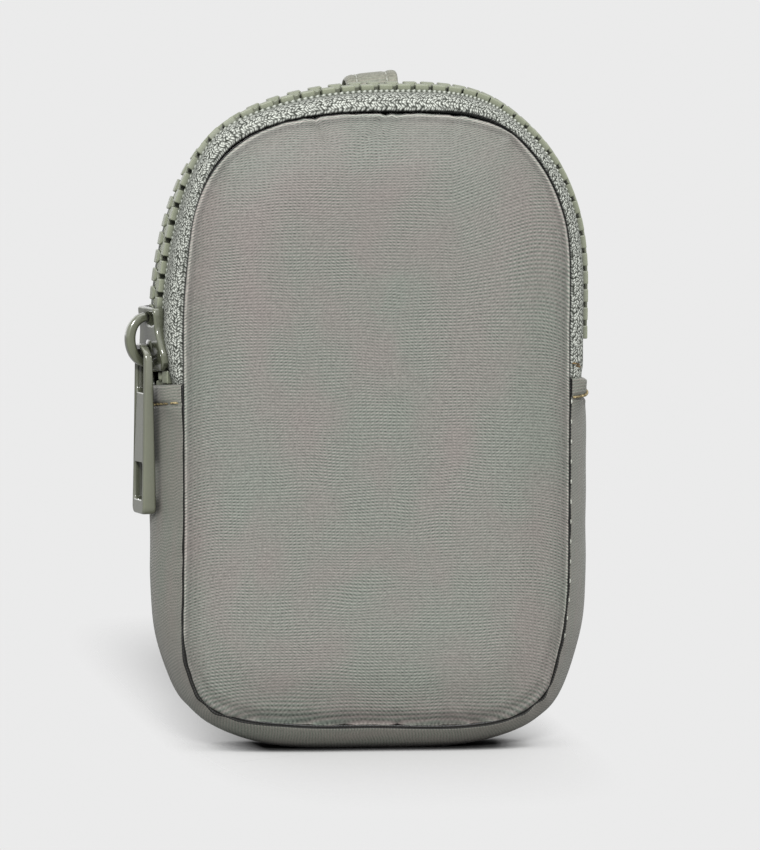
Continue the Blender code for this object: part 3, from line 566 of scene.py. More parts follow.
# Gusset: one band of cloth round the bottom, from hem to hem. Each end is folded under and sewn
# down across the zip tapes, so it is thicker there and has a rounded fold.
GUSSET_CLOTH = 0.0009
EDGE_Y = 0.01175
SEAM_TUCK = 0.0008
SIDE_TUCK = 0.0002
CORNER_TUCK = 0.0003
HEM_WIDTH = 0.0042
HEM_PUFF = 0.00045
HEM_PUFF_FADE = 0.0035
HEM_PUFF_END = 0.0062
HEM_FINE = 0.0068
STITCH_NOTCH = 0.0007
STITCH_NOTCH_WIDTH = 0.00055
FOLD_RADIUS = 0.0006
BAND_PUCKER = 0.00005
CORNER_PUCKER = 0.00013
BAND_PUCKER_PITCH = 0.0086
BAND_PUCKER_REACH = 0.003
BAND_PUCKER_DRIFT = 0.037
BAND_FINE_PITCH = 0.0051
BAND_WAVE = 0.00008
BAND_WAVE_ALONG = 0.019
BAND_WAVE_ACROSS = 0.03
BAND_WAVE_CHANGE = 0.047
HEM_PUCKER_FADE = (0.001, 0.008)
HEM_SKEW_FADE = (0.005, 0.02)
HEM_CORNER = 0.004
LEFT_CORNER_Z = 0.012
LEFT_CORNER_REACH = 0.016
CROWN_Y_SIDE = 0.0035
CROWN_Y_BASE = 0.001
BASE_FLAT_HALF_Y = 0.005
ZIP_FLAT_HALF = 0.0072
ZIP_INSET_SIDE = 0.0007
ZIP_INSET_TOP = 0.0009
ZIP_LEAN_SIDE = 0.12
ZIP_LEAN_TOP = 0.05
ZIP_SHOULDER_RISE = 0.002
ZIP_SHOULDER_LEAN = 1.6
HEM_BLEND = 0.009
LEFT_HEM_Z = 0.0782
RIGHT_HEM_Z = 0.0792


def left_station(z):
    """The length s at a height on the left side."""
    return float(np.interp(z, LINE_Z, LINE_LENGTHS))


LEFT_HEM = left_station(LEFT_HEM_Z)
RIGHT_HEM = GIRTH - left_station(RIGHT_HEM_Z)
LEFT_HEM_SKEW = 0.07
RIGHT_HEM_SKEW = 0.05


def cloth_inset(s, y):
    """How far the band lies inside the crown line where it is plain cloth: round in section."""
    share = smooth_step(-outward(s)[1], 0.2, 0.95)
    crown_y = CROWN_Y_SIDE + (CROWN_Y_BASE - CROWN_Y_SIDE) * share
    flat = BASE_FLAT_HALF_Y * share
    front = y < crown_y
    reach = np.where(front, HALF_DEPTH - flat + crown_y, HALF_DEPTH - flat - crown_y)
    drop = np.where(front, front_inset(s), BACK_INSET)
    turn = np.clip((np.abs(y - crown_y) - flat) / reach, 0.0, 1.0)
    return drop * (1 - np.cos(0.5 * math.pi * turn))


def zip_inset(s, y):
    """How far it lies inside where it is the zip: nearly flat, and bent down into the seams."""
    rise = outward(s)[1] ** 2
    shoulder = np.where(np.mod(s, GIRTH) < HALF_GIRTH, (rise * (1 - rise)) ** 1.5, 0.0)
    middle = ZIP_INSET_SIDE + (ZIP_INSET_TOP - ZIP_INSET_SIDE) * rise - ZIP_SHOULDER_RISE * shoulder
    slant = ZIP_LEAN_SIDE + (ZIP_LEAN_TOP - ZIP_LEAN_SIDE) * rise - ZIP_SHOULDER_LEAN * shoulder
    seam = np.where(y < 0, front_inset(s), BACK_INSET)
    line_at_seam = middle - slant * np.copysign(HALF_DEPTH, y)
    bend = np.maximum(0.0, np.abs(y) - ZIP_FLAT_HALF) / (HALF_DEPTH - ZIP_FLAT_HALF)
    return middle - slant * y + (seam - line_at_seam) * bend ** 2


def gusset_inset(s, y):
    """Both of these, blended into each other at the hems."""
    s = np.mod(s, GIRTH)
    left = smooth_step(s, LEFT_HEM - HEM_BLEND, LEFT_HEM)
    right = smooth_step(GIRTH - s, GIRTH - RIGHT_HEM - HEM_BLEND, GIRTH - RIGHT_HEM)
    share = np.where(s < HALF_GIRTH, left, right)
    return (1 - share) * cloth_inset(s, y) + share * zip_inset(s, y)


def skin(s, y, depth=0.0, step=0.0002):
    """Points of the gusset at the places s and depths y, moved inward below its outer face."""
    s, y, depth = np.broadcast_arrays(np.asarray(s, float), y, depth)
    inset = gusset_inset(s, y)
    slope = (gusset_inset(s, y + step) - gusset_inset(s, y - step)) / (2 * step)
    below = depth / np.hypot(1.0, slope)
    x, z = crown(s)
    across, up = outward(s)
    return as_points(x - across * (inset + below), y - below * slope, z - up * (inset + below))


def hem_profile(distance):
    """How far the cloth stands out, by its distance below the fold: puffed, and drawn in at the stitch."""
    puff = HEM_PUFF * smooth_step(distance, 0.0, FOLD_RADIUS)
    puff = puff * smooth_step(-distance, -HEM_PUFF_END, -HEM_PUFF_FADE)
    stitch = STITCH_NOTCH * np.exp(-((distance - HEM_WIDTH) / STITCH_NOTCH_WIDTH) ** 2)
    before_fold = 1 - np.minimum(distance / FOLD_RADIUS, 1.0)
    fold = GUSSET_CLOTH * (1 - np.sqrt(np.clip(1 - before_fold ** 2, 0, 1)))
    return puff - stitch - fold


def gusset_folds(s, y):
    """Soft folds of the band: puckers at both seams and shallow waves round the corners."""
    up = outward(s)[1]
    corner = smooth_step(-up, 0.15, 0.6)
    to_front = EDGE_Y + y
    to_back = EDGE_Y - y
    ripple = np.sin(TURN * s / BAND_PUCKER_PITCH + 1.3 * np.sin(TURN * s / BAND_PUCKER_DRIFT))
    ripple = ripple + 0.5 * np.sin(TURN * s / BAND_FINE_PITCH)
    seam = np.exp(-to_front / BAND_PUCKER_REACH) + np.exp(-to_back / BAND_PUCKER_REACH)
    folds = (BAND_PUCKER + CORNER_PUCKER * corner) * ripple * seam
    waves = BAND_WAVE * np.sin(TURN * (s / BAND_WAVE_ALONG + y / BAND_WAVE_ACROSS))
    return folds + waves * np.sin(TURN * s / BAND_WAVE_CHANGE)


def seam_tuck(y, size):
    """How far a cloth turns down into the seams at its edges."""
    share = np.clip((np.abs(y) - EDGE_Y + size) / size, 0, 1)
    return size * (1 - np.sqrt(1 - 0.9 * share ** 2))


def solid_faces(rows, columns, close_rows, start=0):
    """Faces of rows of closed rings, with caps where the rows don't close."""
    faces = grid_faces(rows, columns, close_rows, True, start)
    if not close_rows:
        faces.append(list(range(start + columns - 1, start - 1, -1)))
        faces.append(list(range(start + (rows - 1) * columns, start + rows * columns)))
    return faces


def add_band(name, outer, inner, weave, material, closed=False):
    """A cloth of some thickness, from the grids of its outer and its inner face."""
    rings = np.concatenate([outer, inner[:, ::-1]], 1)
    coordinates = np.concatenate([weave, weave[:, ::-1]], 1)
    rows, columns = rings.shape[:2]
    piece = add_mesh(name, rings, solid_faces(rows, columns, closed), material, coordinates)
    turn_outward(piece)
    return piece


def build_gusset():
    low = RIGHT_HEM - GIRTH
    fine = np.concatenate([np.linspace(0, 0.0009, 7), np.linspace(0.0012, HEM_PUFF_END, 14)])
    middle = np.linspace(low + HEM_FINE, LEFT_HEM - HEM_FINE, 260)
    s = np.concatenate([low + fine, middle, (LEFT_HEM - fine)[::-1]])[:, None]
    y = (EDGE_Y * np.sin(np.linspace(-1, 1, 44) * 0.5 * math.pi))[None, :]
    distance = np.minimum(LEFT_HEM - s, s - low)
    near_left = 1 - smooth_step(LEFT_HEM - s, *HEM_SKEW_FADE)
    near_right = 1 - smooth_step(s - low, *HEM_SKEW_FADE)
    s = s - LEFT_HEM_SKEW * y * near_left + RIGHT_HEM_SKEW * y * near_right
    out = hem_profile(distance)
    out = np.where(out > 0, out * smooth_step(EDGE_Y - np.abs(y), 0.0, HEM_CORNER), out)
    out = out + gusset_folds(s, y) * smooth_step(distance, *HEM_PUCKER_FADE)
    near_floor = smooth_step(-outward(s)[1], 0.9, 0.99)
    out = out * (1 - near_floor)
    at_corner = np.exp(-((s - left_station(LEFT_CORNER_Z)) / LEFT_CORNER_REACH) ** 2)
    size = CORNER_TUCK * at_corner + SIDE_TUCK
    tuck = seam_tuck(y, size)
    outer = skin(s, y, tuck - out)
    inner = skin(s, y, GUSSET_CLOTH + tuck + 0 * out)
    # Distance to the seam in widths of the tuck, so that the painted seam shade covers all of it.
    to_seam = (EDGE_Y + 0.0001 - np.abs(y)) / size
    weave = as_points(y * MM, s * MM, to_seam)
    return add_band("gusset", outer, inner, weave, gusset_cloth)


# No painted rim highlight on the gusset, and a wide band of painted shade at the seam.
gusset_cloth = shell_finish("gusset_cloth", srgb(140, 135, 128), srgb(129, 134, 124), 0.15, 0.6, 0.35,
                            rim=1.0, dark=0.7)
gusset = build_gusset()
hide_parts("gusset_fabric")
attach(gusset, "pouch")


# Zip tapes: a coarse herringbone weave, light threads with deep painted shadows between them. The outer
# edge is caught in the seam and the inner edge has a corded rim that the teeth are moulded on.
TAPE = 0.0005
TAPE_DEPTH = 0.0007
CHAIN_DEPTH = 0.0008
TOOTH_PITCH = 0.00393
TOOTH_BACK = 0.00385
TOOTH_HALF_HEIGHT = 0.0014
SPLIT = 0.0021
TAPE_STEP = 0.0007
SLIDER_Z = 0.0885
SLIDER_LENGTH = 0.0135
CHAIN_RIGHT_END_Z = 0.0877
FIRST_TOOTH_ROOM = 0.0014
TAIL_LENGTH = 0.0048
THREAD_PITCH = 0.55
THREAD_ROW = 0.5
CHEVRON = 1.5
PICOT_PITCH = 0.00118
CORD_RADIUS = 0.00031
CORD_ASIDE = 0.00022
CHAIN_SLUMP = 0.0013
SLUMP_LENGTH = 0.0095
REAR_SLUMP = -0.35
LEFT_END_DIP = (0.0003, 0.003)
RIGHT_END_DIP = (0.0008, 0.0035)
TAPE_TOP_DIP = 0.0003
TAPE_RIGHT_RISE = 0.0003
SHOULDER_SHADOW = 0.22

SLIDER_PLACE = left_station(SLIDER_Z)
TEETH_START = LEFT_HEM + FIRST_TOOTH_ROOM
TEETH_END = GIRTH - left_station(CHAIN_RIGHT_END_Z)
BARE_AFTER = TEETH_END + 0.0002


def tape_finish():
    """Herringbone: thread-sized cells in rows that run up and down by turns, with painted shade between the
    threads, in narrow gaps and in the seam.
    """
    tape = Finish("zip_tape", 0.8, 0.25)
    u, v, edge, place = tape.weave()
    chevron = tape.math("PINGPONG", tape.math("DIVIDE", v, CHEVRON), 0.5)
    sway = tape.math("MULTIPLY", tape.noise(place, 0.5, 1.0), 1.1)
    across = tape.math("DIVIDE", v, THREAD_ROW)
    along = tape.math("MULTIPLY_ADD", u, 1 / THREAD_PITCH, tape.math("MULTIPLY", chevron, 2.2))
    along = tape.math("ADD", along, sway)
    spot = tape.node("ShaderNodeCombineXYZ")
    tape.put(spot.inputs[0], along)
    tape.put(spot.inputs[1], across)
    cells = tape.node("ShaderNodeTexVoronoi", voronoi_dimensions="2D")
    tape.put(cells.inputs["Vector"], spot.outputs[0])
    tape.put(cells.inputs["Scale"], 1.0)
    tape.put(cells.inputs["Randomness"], 0.7)
    shade = tape.node("ShaderNodeSeparateXYZ")
    tape.put(shade.inputs[0], cells.outputs["Color"])
    fibre = tape.noise(place, 6.0, 2.0, 0.7)
    distance = tape.math("MULTIPLY_ADD", tape.math("SUBTRACT", fibre, 0.5), 0.3, cells.outputs["Distance"])
    height = tape.level(distance, (0.0, 1.0), (0.3, 0.8), (0.5, 0.3), (0.75, 0.0))
    bright = tape.math("MULTIPLY_ADD", shade.outputs[0], 0.55, 0.62)
    near_teeth = tape.remap(v, 0.0, 1.5, 1.18, 0.96)
    share = tape.math("MULTIPLY", tape.math("MULTIPLY", height, bright), near_teeth)
    # Painted shade in gaps narrower than the reach.
    share = tape.math("MULTIPLY", share, tape.painted_gap_shade(0.0016, 0.2))
    # Painted shade in the seam.
    seam = tape.level(edge, (0.0, 0.03), (0.2, 0.06), (0.42, 0.75), (1.5, 1.0))
    # Low parts of the weave get the dark colour: painted shade between the threads.
    colour = tape.mix(share, srgb(50, 54, 47), srgb(238, 242, 232))
    tape.set("Base Color", tape.brighten(colour, seam))
    tape.bump(tape.math("MULTIPLY_ADD", fibre, 0.2, height), 0.0003, 1.0)
    return tape.material


zip_tape = tape_finish()


def split_at(s):
    """Half the gap between the two rows, which the slider closes."""
    start = SLIDER_PLACE - 0.4 * SLIDER_LENGTH
    return SPLIT * (1 - smooth_step(s, start, start + 0.5 * SLIDER_LENGTH))


def tape_sink(s, share=1.0):
    """Both ends of the zip dip under the folded cloth, and the chain leans in below the slider."""
    under = GUSSET_CLOTH + CLEARANCE - TAPE_DEPTH
    left = 1 - smooth_step(s - LEFT_HEM, *LEFT_END_DIP)
    right = 1 - smooth_step(RIGHT_HEM - s, *RIGHT_END_DIP)
    drawn_in = share * CHAIN_SLUMP * (1 - smooth_step(s, SLIDER_PLACE - SLUMP_LENGTH, SLIDER_PLACE))
    return under * np.maximum(left, right) + drawn_in


def chain_frame(s):
    """Middle of the chain, with its directions along, across and out."""
    front = skin(s, -TOOTH_BACK, CHAIN_DEPTH + tape_sink(s))
    back = skin(s, TOOTH_BACK, CHAIN_DEPTH + tape_sink(s, REAR_SLUMP))
    across = back - front
    across /= np.linalg.norm(across, axis=-1, keepdims=True)
    nx, nz = outward(s)
    flat = as_points(nx, 0.0, nz)
    out = flat - across * (flat * across).sum(-1, keepdims=True)
    out /= np.linalg.norm(out, axis=-1, keepdims=True)
    return 0.5 * (front + back), np.cross(across, out), across, out


def tape_edge(s):
    """Where the tape's inner edge lies: beside the teeth, and at the middle past the last of them."""
    beside = TOOTH_BACK - 0.0002 + split_at(s)
    return beside + (0.00015 - beside) * smooth_step(s, BARE_AFTER, BARE_AFTER + 0.0006)


def tape_piece(name, side):
    s = np.arange(LEFT_HEM - TAIL_LENGTH, RIGHT_HEM + TAIL_LENGTH, TAPE_STEP)[:, None]
    share = np.sin(np.linspace(0.0, 0.5 * math.pi, 19))[None, :]
    edge = tape_edge(s)
    y = side * (edge + (EDGE_Y - edge) * share)
    near_chain = 1 - 0.75 * smooth_step(share, 0.35, 1.0)
    top_dip = TAPE_TOP_DIP * outward(s)[1] ** 2 * (1 - smooth_step(share, 0.2, 0.9))
    right_side = TAPE_RIGHT_RISE * smooth_step(s, 0.6 * GIRTH, 0.72 * GIRTH)
    depth = TAPE_DEPTH + top_dip + tape_sink(s, 1.0 if side < 0 else REAR_SLUMP) * near_chain
    depth = depth + seam_tuck(y, SEAM_TUCK) - right_side
    outer = skin(s, y, depth)
    inner = skin(s, y, depth + TAPE)
    shoulder = smooth_step(s, 0.5 * GIRTH, 0.55 * GIRTH) - smooth_step(s, 0.63 * GIRTH, 0.7 * GIRTH)
    # The painted seam shade reaches further in on the shoulder.
    to_seam = (EDGE_Y + 0.0002 - np.abs(y)) * MM - SHOULDER_SHADOW * shoulder
    weave = as_points(s * MM, (np.abs(y) - TOOTH_BACK) * MM, to_seam)
    return add_band(name, outer, inner, weave, zip_tape)


def cord_piece(name, side):
    """The corded rim of a tape, with a small loop of thread at each picot."""
    s = np.arange(TEETH_START, BARE_AFTER, PICOT_PITCH / 6)
    middle, _, across, out = chain_frame(s)
    swell = 0.5 + 0.7 * np.abs(np.sin(math.pi * s / PICOT_PITCH))
    beside = side * (TOOTH_BACK + CORD_ASIDE + split_at(s))
    centre = middle + across * beside[:, None] - out * 0.00002
    angle = np.linspace(0, TURN, 8, endpoint=False)
    ring = (np.cos(angle)[None, :, None] * across[:, None] + np.sin(angle)[None, :, None] * out[:, None])
    points = centre[:, None] + ring * (CORD_RADIUS * swell)[:, None, None]
    weave = as_points((s * MM)[:, None], angle[None, :] * 0.3, 0.0)
    piece = add_mesh(name, points, solid_faces(len(s), len(angle), False), cord_cloth, weave)
    turn_outward(piece)
    return piece


def cord_finish():
    cord = Finish("tape_cord", 0.8, 0.2)
    u, _, _, place = cord.weave()
    twist = cord.math("SINE", cord.math("MULTIPLY", u, TURN / (PICOT_PITCH * MM)))
    fibre = cord.noise(place, 5.0, 2.0, 0.7)
    share = cord.math("MULTIPLY_ADD", fibre, 0.6, cord.math("MULTIPLY", twist, 0.4))
    cord.set("Base Color", cord.mix(share, srgb(96, 100, 90), srgb(232, 236, 226)))
    cord.bump(fibre, 0.0001, 0.6)
    return cord.material


cord_cloth = cord_finish()
front_tape = tape_piece("front_tape", -1)
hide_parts("front_upper_tape", "front_tape_left_end", "front_tape_right_end")
rear_tape = tape_piece("rear_tape", 1)
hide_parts("rear_zip_tape")
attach(rear_tape, "pouch")
front_cord = cord_piece("front_tape_cord", -1)
rear_cord = cord_piece("rear_tape_cord", 1)
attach(rear_cord, "pouch")
for piece in (front_tape, front_cord):
    follow_fold(piece)


# Teeth: moulded plastic, each with a square foot clamped on the tape's cord, a narrow neck and a
# head that locks between the necks of the other row. A row of them is one piece, and a moulded
# block stops it at each end.
TOOTH_PHASE = 0.16
LAST_TOOTH_ROOM = 0.0012
LEFT_STOP_ROOM = 0.0002
RIGHT_STOP_ROOM = 0.0014
STOP_HALVES = (0.0008, 0.0021, 0.0012)
STOP_CHAMFER = 0.0003
LEFT_STOP_DEPTH = 0.0006
RIGHT_STOP_DEPTH = 0.0028
TOOTH_STATIONS = (
    # across, half length along the chain, half height, chamfer
    (0.00402, 0.00126, 0.00122, 0.00020),
    (0.00388, 0.00142, 0.00139, 0.00016),
    (0.00165, 0.00142, 0.00140, 0.00016),
    (0.00138, 0.00118, 0.00132, 0.00018),
    (0.00112, 0.00074, 0.00094, 0.00018),
    (0.00030, 0.00068, 0.00090, 0.00018),
    (-0.00030, 0.00098, 0.00112, 0.00024),
    (-0.00095, 0.00094, 0.00112, 0.00030),
    (-0.00128, 0.00058, 0.00080, 0.00030),
)


def teeth_finish():
    teeth = Finish("moulded_teeth", 0.36, 0.5)
    place = teeth.place()
    cloud = teeth.noise(place, 260.0, 2.0)
    colour = teeth.mix(cloud, srgb(141, 146, 124), srgb(156, 161, 140))
    # Painted shade in the gaps between the teeth.
    teeth.set("Base Color", teeth.brighten(colour, teeth.painted_gap_shade(0.0016, 0.05)))
    teeth.bump(teeth.noise(place, 2200.0, 2.0), 0.00002, 0.5)
    return teeth.material


moulded_teeth = teeth_finish()


def bevel_edges(piece, width, segments):
    bevel = piece.modifiers.new("edges", "BEVEL")
    bevel.width = width
    bevel.segments = segments
    bevel.limit_method = "ANGLE"


def tooth_rings(centres, side):
    """Rings of eight points for every tooth at once: (teeth, stations, points, 3)."""
    middle, along, across, out = chain_frame(centres)
    split = split_at(centres)
    rings = []
    for reach, half, height, chamfer in TOOTH_STATIONS:
        loop = [(half - chamfer, height), (half, height - chamfer), (half, -height + chamfer),
                (half - chamfer, -height), (-half + chamfer, -height), (-half, -height + chamfer),
                (-half, height - chamfer), (-half + chamfer, height)]
        base = middle + across * (side * (reach + split))[:, None]
        rings.append(np.stack([base + along * a + out * b for a, b in loop], 1))
    return np.stack(rings, 1)


def teeth_piece(name, side, phase):
    count = int((TEETH_END - TEETH_START) / TOOTH_PITCH - phase)
    centres = TEETH_START + (np.arange(count + 2) + phase + TOOTH_PHASE) * TOOTH_PITCH
    centres = centres[centres < TEETH_END - LAST_TOOTH_ROOM]
    rings = tooth_rings(centres, side)
    teeth, stations, loop = rings.shape[:3]
    faces = []
    for k in range(teeth):
        faces += solid_faces(stations, loop, False, k * stations * loop)
    piece = add_mesh(name, rings, faces, moulded_teeth, smooth=False)
    turn_outward(piece)
    bevel_edges(piece, 0.00006, 2)
    return piece


front_teeth = teeth_piece("front_teeth", -1, 0.0)
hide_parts("front_upper_teeth", "front_teeth_left_end", "front_teeth_right_end")
follow_fold(front_teeth)
rear_teeth = teeth_piece("rear_teeth", 1, 0.5)
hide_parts("rear_zip_teeth")
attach(rear_teeth, "pouch")


def join_rings(name, groups, material, smooth=True):
    """One piece from several solids, each a list of rings."""
    points, faces = [], []
    for rings in groups:
        faces += solid_faces(len(rings), len(rings[0]), False, len(points))
        points += [p for ring in rings for p in ring]
    piece = add_mesh(name, points, faces, material, smooth=smooth)
    turn_outward(piece)
    return piece


def block_rings(low, high, chamfer=0.0002):
    """A chamfered block from corner to corner, as rings along its first axis."""
    (a0, b0, c0), (a1, b1, c1) = low, high
    rings = []
    for a, inset in ((a0, chamfer), (a0 + chamfer, 0.0), (a1 - chamfer, 0.0), (a1, chamfer)):
        y0, y1, z0, z1 = b0 + inset, b1 - inset, c0 + inset, c1 - inset
        rings.append([
            (a, y0 + chamfer, z1), (a, y0, z1 - chamfer), (a, y0, z0 + chamfer), (a, y0 + chamfer, z0),
            (a, y1 - chamfer, z0), (a, y1, z0 + chamfer), (a, y1, z1 - chamfer), (a, y1 - chamfer, z1),
        ])
    return rings


def stop_piece(name, node, centre, depth):
    """A small moulded block across both tapes, past the last teeth."""
    middle, along, across, out = (v[0] for v in chain_frame(np.array([centre])))
    middle = middle - out * depth
    rings = block_rings([-half for half in STOP_HALVES], STOP_HALVES, STOP_CHAMFER)
    placed = [[tuple(middle + along * a + across * b + out * c) for a, b, c in ring] for ring in rings]
    piece = join_rings(name, [placed], moulded_teeth, smooth=False)
    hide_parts(node)
    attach(piece, "pouch")


stop_piece("left_stop", "left_end_stop", LEFT_HEM + LEFT_STOP_ROOM, LEFT_STOP_DEPTH)
stop_piece("right_stop", "right_end_stop", TEETH_END + RIGHT_STOP_ROOM, RIGHT_STOP_DEPTH)


# Slider: a painted casting that grips both rows. Its outer plate and the walls that fold down
# from it are one shell, and the plate has a trough where the bail's upper foot is seated.
SLIDER_PLATE = 0.001
SLIDER_PLAY = 0.00035
SLIDER_WALL = 0.0008
SLIDER_SLOT = 0.0005
PLATE_FACE = TOOTH_HALF_HEIGHT + SLIDER_PLAY
PLATE_TOP = PLATE_FACE + SLIDER_PLATE
PLATE_CORNER = 0.00045
PLATE_SINK = 0.0004
SLIDER_TILT = math.radians(-6.5)
SLIDER_YAW = math.radians(6.5)
SLIDER_SEAT = -0.0001
SLIDER_END_DROP = 0.0002
SLIDER_ROUNDING = 0.0009
POCKET_DEPTH = 0.00085
POCKET_ALONG = 0.0044
POCKET_ACROSS = -0.0019
POCKET_HALF_LENGTH = 0.0013
POCKET_HALF_WIDTH = 0.0022
NOSE_NARROWING = 0.0016


def painted_finish(name, low, high, roughness):
    paint = Finish(name, roughness, 0.5)
    place = paint.place()
    cloud = paint.noise(place, 160.0, 3.0)
    # Painted shade in recesses and inside the puller's windows.
    paint.set("Base Color", paint.brighten(paint.mix(cloud, low, high), paint.painted_gap_shade(0.007, 0.06)))
    paint.set("Coat Weight", 1.0)
    paint.set("Coat Roughness", 0.1)
    paint.set("Coat IOR", 1.75)
    paint.bump(paint.noise(place, 1500.0, 3.0), 0.00002, 0.6)
    return paint.material


painted_slider = painted_finish("painted_slider", srgb(102, 106, 85), srgb(116, 120, 100), 0.24)


def slider_frame():
    """The slider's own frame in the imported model: along the chain, across it and out of it."""
    middle, along, across, out = chain_frame(np.array([SLIDER_PLACE]))
    matrix = Matrix((Vector(along[0]), Vector(across[0]), Vector(out[0]))).transposed().to_4x4()
    matrix.translation = Vector(middle[0])
    return matrix


def slider_half_width(along):
    """Wide where the rows part, narrow where they are locked, and drawn in at the nose."""
    narrow = TOOTH_BACK + CLEARANCE + SLIDER_WALL + 0.0003
    wide = narrow + SPLIT
    nose = NOSE_NARROWING * smooth_step(-along, 0.36 * SLIDER_LENGTH, 0.5 * SLIDER_LENGTH)
    return wide + (narrow - wide) * smooth_step(along, -0.26 * SLIDER_LENGTH, 0.2 * SLIDER_LENGTH) - nose


def pocket_depth(along, across):
    """The trough in the outer plate beside the bail's upper foot."""
    to_end = (along - POCKET_ALONG) / POCKET_HALF_LENGTH
    to_side = (across - POCKET_ACROSS) / POCKET_HALF_WIDTH
    return POCKET_DEPTH * math.exp(-to_end ** 4 - to_side ** 4)


def shell_section(half, along, top):
    """A section of the slider: plate with rounded corners, and walls down to the tape."""
    corner = np.linspace(0, 0.5 * math.pi, 5)
    top = top - SLIDER_END_DROP * float(smooth_step(-along, -0.0005, 0.0066))
    slot = SLIDER_SLOT + 0.0008 * float(smooth_step(-along, 0.0048, 0.0064))
    right = [(half - SLIDER_WALL, slot), (half, slot)]
    for a in corner:
        right.append((half - PLATE_CORNER * (1 - math.cos(a)), top - PLATE_CORNER * (1 - math.sin(a))))
    flat = []
    for share in np.linspace(0.84, -0.84, 29):
        flat.append((half * share, top - pocket_depth(along, half * share)))
    left = [(-a, b) for a, b in reversed(right)]
    inside = [(-half + SLIDER_WALL, PLATE_FACE), (half - SLIDER_WALL, PLATE_FACE)]
    return right + flat + left + inside


def slider_shell(sign):
    """Rings along the slider; sign -1 is the inner half."""
    half_length = 0.5 * SLIDER_LENGTH
    ends = (0.0, 0.00012, 0.0004, SLIDER_ROUNDING)
    stations = [-half_length + e for e in ends]
    stations += list(np.linspace(-half_length + 0.0018, half_length - 0.0018, 37))
    stations += [half_length - e for e in reversed(ends)]
    rings = []
    for a in stations:
        to_end = half_length - abs(a)
        rounding = 1 - math.sqrt(max(0.0, 1 - (1 - min(1.0, to_end / SLIDER_ROUNDING)) ** 2))
        half = float(slider_half_width(a)) - 0.0007 * rounding
        section = shell_section(half, a if sign > 0 else -1.0, PLATE_TOP - 0.00012 * rounding)
        rings.append([(a, b, sign * c) for b, c in section])
    return rings


SLIDER_FRAME = slider_frame()
SLIDER_PIVOT = Matrix.Translation((0.25 * SLIDER_LENGTH, 0, 0))
SLIDER_TURN = Matrix.Rotation(SLIDER_YAW, 4, "X") @ Matrix.Rotation(SLIDER_TILT, 4, "Y")
SLIDER_LOOK = SLIDER_FRAME @ Matrix.Translation((0, 0, SLIDER_SEAT)) @ SLIDER_PIVOT @ SLIDER_TURN
SLIDER_LOOK = SLIDER_LOOK @ SLIDER_PIVOT.inverted()

# The neck joins the two plates between the rows, and the lock's housing is a low mound under the bail
NECK_LOW = (-0.0061, -0.0007, -PLATE_FACE)
NECK_HIGH = (-0.0037, 0.0007, PLATE_FACE)
LOCK_ALONG = -0.0017
LOCK_HALF_LENGTH = 0.0016
LOCK_SECTIONS = (
    (-0.0017, 0.0002), (-0.0015, 0.0006), (-0.0009, 0.0009),
    (0.0009, 0.0009), (0.0015, 0.0006), (0.0017, 0.0002),
)
neck = block_rings(NECK_LOW, NECK_HIGH)
lock = []
for b, height in LOCK_SECTIONS:
    arc = np.linspace(0, math.pi, 15)
    lock.append([(LOCK_ALONG + LOCK_HALF_LENGTH * math.cos(a), b,
                  PLATE_TOP - PLATE_SINK + height * math.sin(a)) for a in arc])
slider = join_rings("slider_casting", [slider_shell(1), slider_shell(-1), neck, lock], painted_slider)
slider.matrix_world = SLIDER_LOOK
bevel_edges(slider, 0.00012, 3)
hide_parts("slider_body")
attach(slider, "slider")


# Bail: a thick flat-sided arch of the same painted metal, which carries the puller. Its feet are
# let into the slider's plate.
BAIL_LENGTH = 0.0121
BAIL_WIRE = 0.0021
BAIL_DEPTH = 0.0022
BAIL_MIDDLE = -0.0003
BAIL_OPENING = 0.0029
BAIL_CORNER = 0.0006
BAIL_ACROSS = 0.0007


def rounded_loop(half_a, half_b, radius, steps=4):
    """Points of a rounded rectangle round the origin."""
    a, b = half_a - radius, half_b - radius
    points = []
    for centre_a, centre_b, start in ((a, b, 0), (-a, b, 90), (-a, -b, 180), (a, -b, 270)):
        for i in range(steps + 1):
            angle = math.radians(start + 90 * i / steps)
            points.append((centre_a + radius * math.cos(angle), centre_b + radius * math.sin(angle)))
    return points


def bail_rings():
    """The bail's section along its arch, a little thinner at the feet."""
    half = 0.5 * (BAIL_LENGTH - BAIL_WIRE)
    foot = PLATE_TOP - PLATE_SINK
    rise = PLATE_TOP + BAIL_OPENING + 0.5 * BAIL_WIRE - foot
    rings = []
    for angle in np.linspace(0, math.pi, 33):
        wire = BAIL_WIRE * (1.0 - 0.08 * abs(math.cos(angle)) ** 3)
        centre = Vector((BAIL_MIDDLE + half * math.cos(angle), 0, foot + rise * math.sin(angle) ** 0.85))
        radial = Vector((rise * math.cos(angle), 0, half * math.sin(angle))).normalized()
        rings.append([tuple(centre + radial * a + Vector((0, b, 0)))
                      for a, b in rounded_loop(0.5 * wire, 0.5 * BAIL_DEPTH, BAIL_CORNER)])
    return rings


bail = join_rings("bail", [bail_rings()], painted_slider)
bail.matrix_world = SLIDER_LOOK @ Matrix.Translation((0, BAIL_ACROSS, 0))
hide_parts("slider_bail")
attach(bail, "slider")


